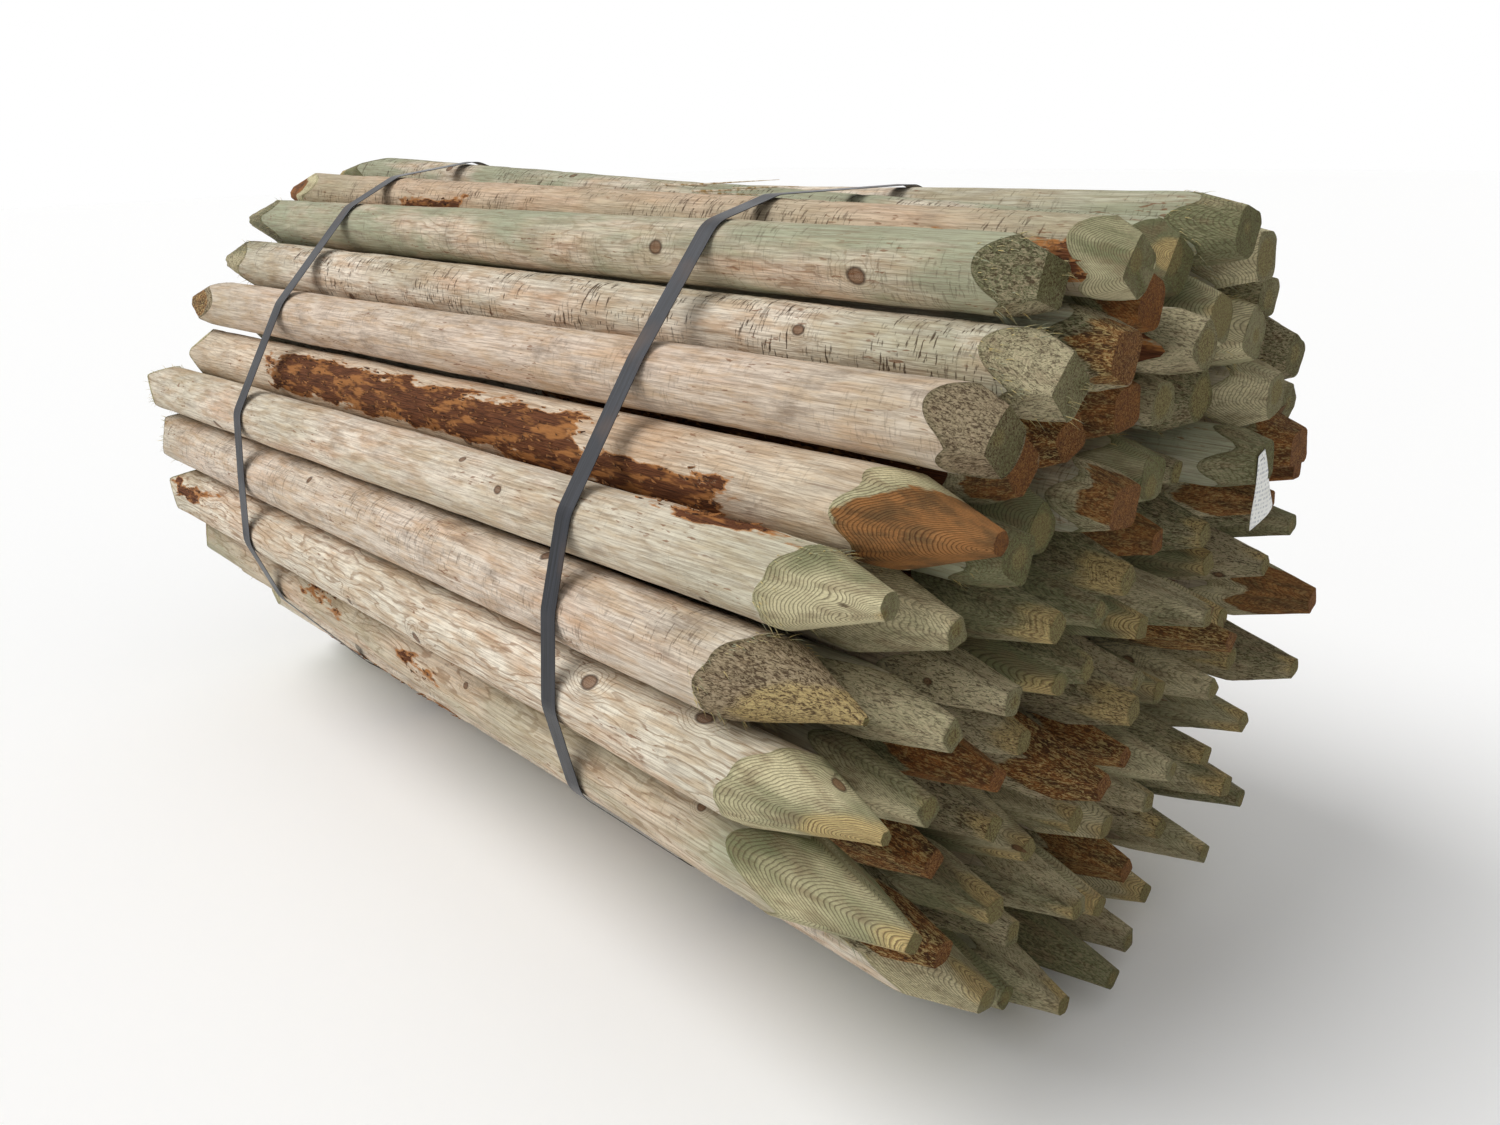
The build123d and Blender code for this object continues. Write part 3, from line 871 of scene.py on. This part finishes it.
# %% [markdown]
# ## The wood material
#
# One material serves all ninety-one posts. It reads from the attributes whether a point is on the
# peeled round or on a saw cut, and which post it belongs to. On the round the rings only show
# faintly; on a cut they are sharp and dark, with green sapwood outside and tan heartwood inside.
# Some ends are stained a red brown all over.


# %% Make the wood material
def attribute(tree, name, output="Fac"):
    """A value that travels with the mesh."""
    return place(tree, "ShaderNodeAttribute", attribute_name=name)[output]


def new_material(name):
    """An empty material and its tree."""
    material = bpy.data.materials.new(name)
    material.use_nodes = True
    material.node_tree.nodes.clear()
    return material, material.node_tree


def finish_material(tree, base, roughness, height, depth, metallic=0.0, specular=0.5):
    """Light the surface: colour, roughness and a bump of a given depth in metres."""
    bump = place(tree, "ShaderNodeBump", {"Strength": 1.0, "Distance": depth, "Height": height})
    shader = place(tree, "ShaderNodeBsdfPrincipled", {
        "Base Color": base, "Roughness": roughness, "Metallic": metallic,
        "Specular IOR Level": specular, "Normal": bump[0],
    })
    place(tree, "ShaderNodeOutputMaterial", {0: shader[0]})


def wood_material():
    """Peeled, sawn and treated pine."""
    material, tree = new_material("treated_pine")
    in_post = attribute(tree, "in_post", "Vector")
    cut, stain = attribute(tree, "cut"), attribute(tree, "stain")
    green, nicked, seed = split(attribute(tree, "traits", "Vector"))
    tanned, greyed, rough_cut = split(attribute(tree, "finish", "Vector"))
    rings = place(tree, "ShaderNodeGroup", {
        "In Post": in_post, "Pith": attribute(tree, "pith", "Vector"), "Seed": seed,
        "Knot Offset": attribute(tree, "knot_offset", "Vector"),
    }, node_tree=growth_rings)
    marks = place(tree, "ShaderNodeGroup", {
        "In Post": in_post, "Seed": seed, "Bark Distance": attribute(tree, "bark"),
    }, node_tree=peeling_marks)
    late, fibre, mottle, wool = rings["Late Wood"], marks["Fibre"], marks["Mottle"], marks["Wool"]
    sawn = ramp(cut, 0.0, 0.0008)
    on_round = 1.0 - sawn

    # The peeled round
    near_end = ramp(cut, -0.26, 0.0) * ramp(green, 0.1, 0.9, 0.15, 0.75)
    greened = maths("MINIMUM", ramp(marks["Cloud"], 0.36, 0.62) * green + near_end, 0.9)
    hatch = marks["Hatch"] * ramp(nicked, 0.1, 0.9, 0.0, 0.9)
    nicks = maths("MAXIMUM", marks["Nicks"] * (nicked * 0.85), hatch)
    peeled = coats(
        cream,
        (tanned, tan),
        (greyed * 0.55, pink_grey),
        (ramp(mottle, 0.42, 0.66, 0.0, 0.75), tan),
        (marks["Warmth"] * 0.45, warm_tan),
        (ramp(late, 0.45, 1.0) * ramp(attribute(tree, "figure"), 0.0, 1.0, 0.10, 0.60), figure_brown),
        (greened, treated_green),
        (marks["Streaks"] * 0.36, streak_brown),
        (marks["Lines"] * 0.28, streak_brown),
        (marks["Smudge"] * ramp(greyed, 0.0, 1.0, 0.30, 0.60), weathered),
        (ramp(fibre, 0.45, 0.75, 0.0, 0.46), weathered),
        (nicks, mark_and_shade_brown),
        (marks["Flecks"] * 0.7, knot_brown),
    )

    # The saw cuts: sapwood outside, heartwood inside, ring lines, torn fibres with painted highlight and
    # painted shade, and the small cap
    past_heart = rings["From Pith"] + (mottle - 0.5) * 0.014 - attribute(tree, "heart")
    pale_share = ramp(past_heart, -0.005, 0.004, 0.85, 0.0)
    brown_share = ramp(past_heart, -0.0012, 0.0012, 0.97, 0.0)
    heart_share = between(ramp(stain, 0.0, 0.2), pale_share, brown_share)
    sapwood = coats(
        pale_green,
        (ramp(marks["Cloud"] + ramp(green, 0.0, 1.0, -0.14, 0.14), 0.38, 0.62), deep_green),
        (ramp(mottle, 0.45, 0.7, 0.0, 0.5), drab_brown),
        (greyed * ramp(rough_cut, 0.5, 1.0, 0.0, 0.8), drab_brown),
    )
    pale_heart = coats(heart_tan, (ramp(rings["Ring Tone"], 0.35, 0.65), heart_yellow))
    brown_heart = coats(stained_orange, (ramp(mottle, 0.35, 0.7), stained_brown))
    stained = ramp(stain, 0.0, 0.5)
    cap = ramp(attribute(tree, "cap"), 0.40, 0.55)
    cap_tone = coats(cap_green, (stained, cap_orange), (ramp(wool, 0.40, 0.60, 0.85, 0.0), knot_dark))
    # Torn fibres: a painted highlight on their raised tops and a painted shade in the hollows between them
    raised_highlight = ramp(wool, 0.50, 0.61) * ramp(rough_cut, 0.2, 1.0, 0.0, 0.75)
    sunken_shade = ramp(wool, 0.40, 0.52, 1.0, 0.0) * ramp(rough_cut, 0.0, 1.0, 0.12, 0.9)
    facet = coats(
        sapwood,
        (heart_share, coats(pale_heart, (ramp(stain, 0.05, 0.9), brown_heart))),
        (late * ramp(rough_cut, 0.2, 0.9, 0.66, 0.16), coats(latewood_brown, (stained, stained_line))),
        (raised_highlight, coats(torn_highlight_tan, (heart_share, heart_yellow))),
        (sunken_shade, mark_and_shade_brown),
        (ramp(fibre, 0.3, 0.8, 0.0, 0.25) * ramp(stain, 0.0, 0.8, 1.0, 0.2), weathered),
        (ramp(cut, 0.0, 0.012, 0.35, 0.0), rim_green),
        (cap * 0.72, cap_tone),
    )

    # Both together, with knots and bark
    bark_share = marks["Bark"] * on_round
    bark_tone = coats(bark_brown, (ramp(fibre, 0.35, 0.7), bark_dark),
                      (ramp(mottle, 0.50, 0.62, 0.0, 0.8), inner_bark))
    base = coats(
        peeled,
        (sawn, facet),
        (rings["Knot"] * 0.75, coats(knot_brown, (late, knot_dark))),
        (rings["Knot Rim"] * 0.6, knot_dark),
        (marks["Bark Edge"] * on_round, inner_bark),
        (bark_share, bark_tone),
    )
    relief = fibre * 0.6 - nicks * 1.4 - marks["Streaks"] * 0.5 + late * 0.25 + mottle * 0.8
    torn_relief = maths("MAXIMUM", wool * ramp(rough_cut, 0.0, 1.0, 0.6, 4.0), wool * (cap * 3.0))
    relief = relief + bark_share * 1.2 + torn_relief * sawn
    finish_material(tree, base, ramp(fibre, 0.3, 0.8, 0.66, 0.9), relief, 0.0011, specular=0.08)
    return material


treated_pine = wood_material()
print("wood material:", len(treated_pine.node_tree.nodes), "nodes")

# %% [markdown]
# ## Wear the skin down
#
# Real posts are never quite round: the knife rides over knots, chatters, and leaves the bark a
# little proud. This could be sculpted by hand on one post, but not on ninety-one. Geometry Nodes
# moves every point inwards by a depth worked out from its place in its own post. Only inwards, so
# that posts which touch in the stack don't cut into each other.


# %% Write the Geometry Nodes helpers
def carried(tree, name, data_type="FLOAT"):
    """An attribute of the mesh, read inside Geometry Nodes."""
    return place(tree, "GeometryNodeInputNamedAttribute", {"Name": name}, data_type=data_type)["Attribute"]


def painted(geometry, material):
    """Finish a tree: give the geometry its material and hand it out."""
    tree = geometry.tree
    feeds = {"Geometry": geometry, "Material": material}
    return give(tree, {"Geometry": place(tree, "GeometryNodeSetMaterial", feeds)[0]}, "Geometry")


def run_tree(mesh, name, tree, values):
    """Run a Geometry Nodes tree over a mesh and return the result as a plain mesh."""
    maker = put_in_scene(name, mesh)
    modifier = maker.modifiers.new(name, "NODES")
    modifier.node_group = tree
    for item in tree.interface.items_tree:
        if item.in_out == "INPUT" and item.name in values:
            modifier[item.identifier] = values[item.name]
    graph = bpy.context.evaluated_depsgraph_get()
    result = bpy.data.meshes.new_from_object(maker.evaluated_get(graph))
    result.name = name
    maker.modifiers.remove(modifier)
    bpy.data.objects.remove(maker)
    return result


def ride_along(mesh, name, slot, *replaced):
    """Put a finished mesh into the scene as a piece of the part."""
    piece = put_in_scene(name, mesh)
    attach(piece, "root")
    if replaced:
        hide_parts(*replaced)
    return piece


print("geometry helpers are ready")


# %% Make the tree that wears the wood
def worn_wood_tree():
    """Moves the skin inwards: waves, nicks, saw marks, and a step down beside the bark."""
    tree, given = new_group("worn_wood", "GeometryNodeTree", {
        "Geometry": ("Geometry", None), "Wave Depth": ("Float", 0.0022), "Nick Depth": ("Float", 0.0022),
        "Saw Depth": ("Float", 0.0012), "Bark Thickness": ("Float", 0.0016), "Material": ("Material", None),
    })
    in_post = carried(tree, "in_post", "FLOAT_VECTOR")
    _, nicked, seed = split(carried(tree, "traits", "FLOAT_VECTOR"))
    rough = split(carried(tree, "finish", "FLOAT_VECTOR"))[2]
    shift = joined(tree, x=seed)

    def grain(across, along, detail):
        return noise(in_post * (across, across, along) + shift, 1.0, detail)

    waves = ramp(grain(16.0, 5.0, 2.0), 0.25, 0.75)
    nicks = ramp(grain(34.0, 90.0, 1.0), 0.56, 0.75) * nicked
    sawn = ramp(carried(tree, "cut"), 0.0, 0.004)
    beside_bark = ramp(carried(tree, "bark"), -0.004, 0.002, 1.0, 0.0)
    knife = waves * given["Wave Depth"] + nicks * given["Nick Depth"]
    knife = knife + beside_bark * given["Bark Thickness"]
    saw_marks = grain(60.0, 34.0, 2.0) * ramp(rough, 0.0, 1.0, 0.5, 2.6)
    depth = knife * (1.0 - sawn) + saw_marks * sawn * given["Saw Depth"]
    inwards = place(tree, "GeometryNodeInputNormal")[0] * (depth * -1.0)
    moved = place(tree, "GeometryNodeSetPosition", {"Geometry": given["Geometry"], "Offset": inwards})[0]
    return painted(place(tree, "GeometryNodeRealizeInstances", {0: moved})[0], given["Material"])


worn_wood = worn_wood_tree()
worn_rows = {}
for name, bare in bare_rows.items():
    title = name.replace("posts", "peeled_posts")
    worn_rows[name] = run_tree(bare, title, worn_wood, {"Material": treated_pine})
    ride_along(worn_rows[name], title, "treated_wood", name)
print("worn rows:", {name[-2:]: len(mesh.polygons) for name, mesh in worn_rows.items()})

# %% [markdown]
# ## Torn fibres, bark flakes and splinters
#
# A blunt saw drags fibres out of the wood at the rim of a cut, bark lifts off in flakes, and one
# post near the top has long splinters. All three are the same thing at different sizes: slivers
# that point along the grain and lift a little. So one scattering tree makes all three, told by its
# inputs where to put them, how long and how flat they are, and how far they lift.


# %% Make the tree that scatters slivers
def sliver_tree():
    """Scatters pointed slivers over the wood where an attribute asks for them."""
    tree, given = new_group("scattered_slivers", "GeometryNodeTree", {
        "Geometry": ("Geometry", None), "Where": ("String", "torn"), "Density": ("Float", 3000.0),
        "Shortest": ("Float", 0.006), "Longest": ("Float", 0.024), "Width": ("Float", 0.0005),
        "Flatness": ("Float", 1.0), "Lift": ("Float", 0.5), "Astray": ("Float", 0.25),
        "Sag": ("Float", 0.004), "Seed": ("Int", 1), "Material": ("Material", None),
    })
    seed, width = given["Seed"], given["Width"]
    spots = place(tree, "GeometryNodeDistributePointsOnFaces", {
        "Mesh": given["Geometry"], "Seed": seed,
        "Density": carried(tree, given["Where"]) * given["Density"],
    })
    up_post = split(carried(tree, "in_post", "FLOAT_VECTOR"))[2]
    grain = carried(tree, "along", "FLOAT_VECTOR") * maths("SIGN", up_post - 1.0)
    any_way = place(tree, "FunctionNodeRandomValue", {
        "Min": (-1.0, -1.0, -1.0), "Max": (1.0, 1.0, 1.0), "Seed": seed,
    }, data_type="FLOAT_VECTOR")[0]
    heading = grain + spots["Normal"] * given["Lift"] + any_way * given["Astray"]
    length = place(tree, "FunctionNodeRandomValue", {
        "Min": given["Shortest"], "Max": given["Longest"], "Seed": seed,
    }, data_type="FLOAT")[1]
    sliver = place(tree, "GeometryNodeMeshCone", {
        "Vertices": 5, "Side Segments": 5, "Radius Top": 0.15, "Radius Bottom": 1.0, "Depth": 1.0,
    })["Mesh"]
    up_sliver = split(place(tree, "GeometryNodeInputPosition")[0])[2]
    marked = place(tree, "GeometryNodeStoreNamedAttribute", {
        "Geometry": sliver, "Name": "up_sliver", "Value": up_sliver,
    }, data_type="FLOAT", domain="POINT")[0]
    many = place(tree, "GeometryNodeInstanceOnPoints", {
        "Points": spots["Points"], "Instance": marked,
        "Rotation": place(tree, "FunctionNodeAlignRotationToVector", {"Vector": heading}, axis="Z")[0],
        "Scale": joined(tree, width, width * given["Flatness"], length),
    })[0]
    whole = place(tree, "GeometryNodeRealizeInstances", {0: many})[0]
    height = carried(tree, "up_sliver")
    drop = joined(tree, z=height * height * given["Sag"] * -1.0)
    bent = place(tree, "GeometryNodeSetPosition", {"Geometry": whole, "Offset": drop})[0]
    return painted(bent, given["Material"])


slivers = sliver_tree()
print("sliver tree:", len(slivers.nodes), "nodes")


# %% Scatter the slivers
def sliver_material(name, first, second):
    """Raw torn wood or flaking bark, a little different from sliver to sliver."""
    material, tree = new_material(name)
    where = place(tree, "ShaderNodeTexCoord")["Object"]
    patches, fibre = noise(where, 90.0), noise(where * (60.0, 900.0, 900.0))
    base = coats(first, (ramp(patches, 0.35, 0.65), second), (ramp(fibre, 0.4, 0.7, 0.0, 0.4), mark_and_shade_brown))
    finish_material(tree, base, ramp(patches, 0.3, 0.7, 0.75, 0.9), fibre, 0.0004, specular=0.2)
    return material


torn_wood = sliver_material("torn_wood", heart_yellow, treated_green)
flaking_bark = sliver_material("flaking_bark", inner_bark, bark_dark)
raw_splinter = sliver_material("raw_splinter", cream, heart_tan)
kinds_of_sliver = {
    "torn_fibres": {"Where": "torn", "Density": 9000.0, "Lift": 0.45, "Material": torn_wood},
    "bark_flakes": {"Where": "flaky", "Density": 3400.0, "Shortest": 0.006, "Longest": 0.022,
                    "Width": 0.0026, "Flatness": 0.18, "Lift": 0.10, "Sag": 0.0, "Material": flaking_bark},
    "long_splinters": {"Where": "splintered", "Density": 900.0, "Shortest": 0.08, "Longest": 0.24,
                       "Width": 0.0022, "Flatness": 0.5, "Lift": 0.06, "Astray": 0.05, "Sag": 0.0,
                       "Material": raw_splinter},
}


def keep_inside(mesh, lowest, highest):
    """Pull points that stick out of the solid model's box back to its sides."""
    for vertex in mesh.vertices:
        vertex.co = [min(max(at, low), high) for at, low, high in zip(vertex.co, lowest, highest)]


for kind, inputs in kinds_of_sliver.items():
    for name, worn in worn_rows.items():
        scattered = run_tree(worn, f"{kind}_{name[-2:]}", slivers, inputs)
        keep_inside(scattered, *solid_box)
        if len(scattered.polygons):
            ride_along(scattered, scattered.name, "treated_wood")
            print(scattered.name, len(scattered.polygons), "faces")

# %% [markdown]
# ## Straps and seals
#
# Steel strapping is cold-rolled, so it is smooth, dark and a little shiny, with fine scratches
# along its length from the tensioner. The solid model's bands already have the right shape, and
# only need a surface of their own.


# %% Make the steel materials
rust = colour(96, 74, 58)


def steel_material(name, light, dark, along, rough_from, rough_to, metallic):
    """Dark strapping steel, with scratches that run along the band."""
    material, tree = new_material(name)
    where = place(tree, "ShaderNodeTexCoord")["Object"]
    scratches = noise(where * along, 1.0, 3.0, 0.6)
    patches = noise(where * (18.0, 9.0, 9.0), 1.0, 3.0)
    base = coats(dark, (ramp(scratches, 0.35, 0.75), light), (ramp(patches, 0.55, 0.75, 0.0, 0.35), rust))
    rough = ramp(patches, 0.3, 0.7, rough_from, rough_to)
    finish_material(tree, base, rough, scratches, 0.0002, metallic=metallic)
    return material


strap_steel = steel_material("strap_steel", colour(44, 47, 56), colour(16, 18, 22),
                             (700.0, 8.0, 8.0), 0.30, 0.48, 0.3)
seal_steel = steel_material("seal_steel", colour(134, 134, 136), colour(70, 70, 72),
                            (90.0, 60.0, 60.0), 0.32, 0.5, 0.75)
for name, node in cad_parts.items():
    if name.startswith("strap"):
        node.data.materials.clear()
        node.data.materials.append(seal_steel if "seal" in name else strap_steel)
print("steel on", [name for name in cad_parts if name.startswith("strap")])

# %% [markdown]
# ## The label
#
# The label is a thin white sheet stapled to the end of one post, narrow at the top and wide at the
# bottom, where the wind has curled it. It is made from the outline of the solid model's label: its
# four corners are found, and a fine net is stretched between them and bent a little.


# %% Make the label
curl_depth, curl_power = 0.006, 1.5
ripple_depth, ripples_across, ripples_up = 0.0015, 5, 6
# Where the sheet's two faces lie, as shares of the solid label's thickness from its middle
front_share, back_share = 0.5, 0.1


def sheet_corners(node):
    """The corners of a thin four-sided sheet, in order: bottom left, right, top right, left."""
    points = np.array([tuple(vertex.co) for vertex in node.data.vertices])
    middle = points.mean(axis=0)
    thin, wide, tall = np.linalg.eigh(np.cov((points - middle).T))[1].T
    tall, wide = (axis * np.sign(axis[direction]) for axis, direction in ((tall, 2), (wide, 1)))
    thin = np.cross(wide, tall)
    local = (points - middle) @ np.column_stack([wide, tall, thin])
    low, high = local[local[:, 1] < 0], local[local[:, 1] > 0]
    corners = [low[low[:, 0].argmin()], low[low[:, 0].argmax()],
               high[high[:, 0].argmax()], high[high[:, 0].argmin()]]
    return middle, (wide, tall, thin), np.array(corners), np.ptp(local[:, 2])


def label_mesh(node, across=16, up=34):
    """A curled sheet with the solid label's outline and thickness."""
    middle, (wide, tall, thin), corners, thickness = sheet_corners(node)
    points, faces = [], []
    for depth_share in (front_share, back_share):
        for row in range(up + 1):
            high = row / up
            left = corners[0] * (1 - high) + corners[3] * high
            right = corners[1] * (1 - high) + corners[2] * high
            for column in range(across + 1):
                over = column / across
                spot = left * (1 - over) + right * over
                ripple = ripple_depth * (1 + math.sin(ripples_across * over + ripples_up * high))
                bend = (1 - high) ** curl_power * (curl_depth * (2 * over - 1) ** 2 + ripple)
                spot[2] = thickness * depth_share - bend
                points.append(middle + spot[0] * wide + spot[1] * tall + spot[2] * thin)
    wide_count = across + 1
    layer = wide_count * (up + 1)
    for row in range(up):
        for column in range(across):
            first = row * wide_count + column
            faces.append((first, first + 1, first + 1 + wide_count, first + wide_count))
            back = first + layer
            faces.append((back + wide_count, back + 1 + wide_count, back + 1, back))
    rim = list(range(across)) + [row * wide_count + across for row in range(up)]
    rim += [up * wide_count + column for column in range(across, 0, -1)]
    rim += [row * wide_count for row in range(up, 0, -1)]
    for here, after in zip(rim, rim[1:] + rim[:1]):
        faces.append((after, here, here + layer, after + layer))
    return smooth_mesh("curled_label", points, faces)


def label_material():
    """White plastic-coated paper with green smudges from the wood, and faint folds painted a darker grey as
    shade.
    """
    material, tree = new_material("label_paper")
    where = place(tree, "ShaderNodeTexCoord")["Object"]
    smudge = noise(where, 28.0, 4.0, 0.6)
    crease_and_shade = noise(where * (40.0, 40.0, 240.0), 1.0, 3.0)
    _, across, up = split(where)
    line = up * 150.0
    dash_place = joined(tree, y=across * 260.0, z=maths("FLOOR", line))
    dashes = ramp(noise(dash_place, 1.7, 1.0), 0.50, 0.54)
    base = coats(
        colour(232, 232, 226),
        (ramp(smudge, 0.5, 0.75, 0.0, 0.5), colour(196, 196, 180)),
        # Painted shade: the folds darker grey
        (ramp(crease_and_shade, 0.6, 0.7, 0.0, 0.3), colour(170, 170, 164)),
        (dashes * ramp(maths("FRACT", line), 0.45, 0.55) * 0.55, colour(96, 104, 128)),
    )
    finish_material(tree, base, ramp(smudge, 0.3, 0.7, 0.4, 0.55), crease_and_shade, 0.0004)
    return material


label_paper = label_material()
label = label_mesh(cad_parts["end_tag"])
label.materials.append(label_paper)
ride_along(label, "curled_label", "tag", "end_tag")
print("label:", len(label.polygons), "faces")

# %% [markdown]
# A staple is one bent wire: a crown across the sheet and two legs driven into the wood. A round
# section is carried along that path, one ring of points at each bend, and both ends are closed.

# %% Bend the staple
crown_width = 0.012
wire_radius = 0.00035
leg_length = 0.003
bend_radius = 0.0010
staple_below_top = 0.010
wire_sides = 8
crown_sunk = 0.5


def staple_mesh(node):
    """A round wire bent into a staple near the top of the label."""
    middle, (wide, tall, thin), corners, thickness = sheet_corners(node)
    top = (corners[2] + corners[3]) / 2 - np.array([0.0, staple_below_top, 0.0])
    half, turn = crown_width / 2, bend_radius * (1 - math.sqrt(0.5))
    path = [(-half, -leg_length), (-half, -bend_radius), (-half + turn, -turn), (-half + bend_radius, 0.0)]
    path += [(-over, deep) for over, deep in reversed(path)]
    path = np.array(path)
    along = np.gradient(path, axis=0)
    along /= np.linalg.norm(along, axis=1)[:, None]
    out = thickness / 2 + wire_radius * crown_sunk
    points = []
    for (over, deep), (run, rise) in zip(path, along):
        centre = middle + (top[0] + over) * wide + top[1] * tall + (out + deep) * thin
        sideways = thin * run - wide * rise
        for side in range(wire_sides):
            angle = math.tau * side / wire_sides
            points.append(centre + wire_radius * (math.cos(angle) * sideways + math.sin(angle) * tall))
    faces = []
    for ring in range(len(path) - 1):
        for side in range(wire_sides):
            here, after = ring * wire_sides + side, ring * wire_sides + (side + 1) % wire_sides
            faces.append((here, here + wire_sides, after + wire_sides, after))
    last = (len(path) - 1) * wire_sides
    faces += [tuple(range(wire_sides)), tuple(range(last + wire_sides - 1, last - 1, -1))]
    return smooth_mesh("label_staple", points, faces)


staple = staple_mesh(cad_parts["end_tag"])
staple.materials.append(seal_steel)
ride_along(staple, "label_staple", "tag")
wire = sum(face.normal.dot(face.center) * face.area for face in staple.polygons) / 3
print("staple:", len(staple.polygons), "faces")
print("its volume, above 0 where the faces point outwards:", round(wire * 1e9, 2), "mm3")

# %% [markdown]
# ## Floor, background and light
#
# The bundle lies on a pale plain floor, lit as in a studio: one large soft lamp from the camera's
# left and above, like the bright sky in the photograph, and an even light from all round. The
# camera sees the floor and the background as plain white, and the floor keeps the soft shadow.


# %% Set the stage
floor_reach = 30.0
sky_strength = 0.49
lamp_strength = 1.9
lamp_spread = math.radians(40)
lamp_from = Vector((-0.42, -0.50, 0.86))


def floor_material():
    """A pale matt floor."""
    material, tree = new_material("studio_floor")
    where = place(tree, "ShaderNodeTexCoord")["Object"]
    grain = noise(where, 30.0, 3.0)
    base = coats(colour(255, 255, 254), (grain, colour(255, 255, 255)))
    finish_material(tree, base, ramp(grain, 0.3, 0.7, 0.85, 0.95), grain, 0.0001)
    return material


floor_mesh = bpy.data.meshes.new("studio_floor")
floor_corners = [(floor_reach * x, floor_reach * y, 0) for x, y in ((-1, -1), (1, -1), (1, 1), (-1, 1))]
floor_mesh.from_pydata(floor_corners, [], [(0, 1, 2, 3)])
floor_mesh.materials.append(floor_material())
floor = put_in_scene("studio_floor", floor_mesh)

sun = bpy.data.lights.new("sky_light", "SUN")
sun.energy = lamp_strength
sun.angle = lamp_spread
sun_object = put_in_scene("sky_light", sun)
sun_object.rotation_euler = (-lamp_from).to_track_quat("-Z", "Y").to_euler()
world = bpy.data.worlds.new("studio")
world.use_nodes = True
sky_tree = world.node_tree
sky_tree.nodes.clear()
rays = place(sky_tree, "ShaderNodeLightPath")
seen = maths("MAXIMUM", rays["Is Camera Ray"], rays["Is Transmission Ray"])
strength = ramp(maths("MAXIMUM", seen, rays["Is Glossy Ray"]), 0.0, 1.0, sky_strength, 1.0)
sky = place(sky_tree, "ShaderNodeBackground", {0: (1, 1, 1, 1), 1: strength})
place(sky_tree, "ShaderNodeOutputWorld", {0: sky[0]})
bpy.context.scene.world = world
print("stage is set")
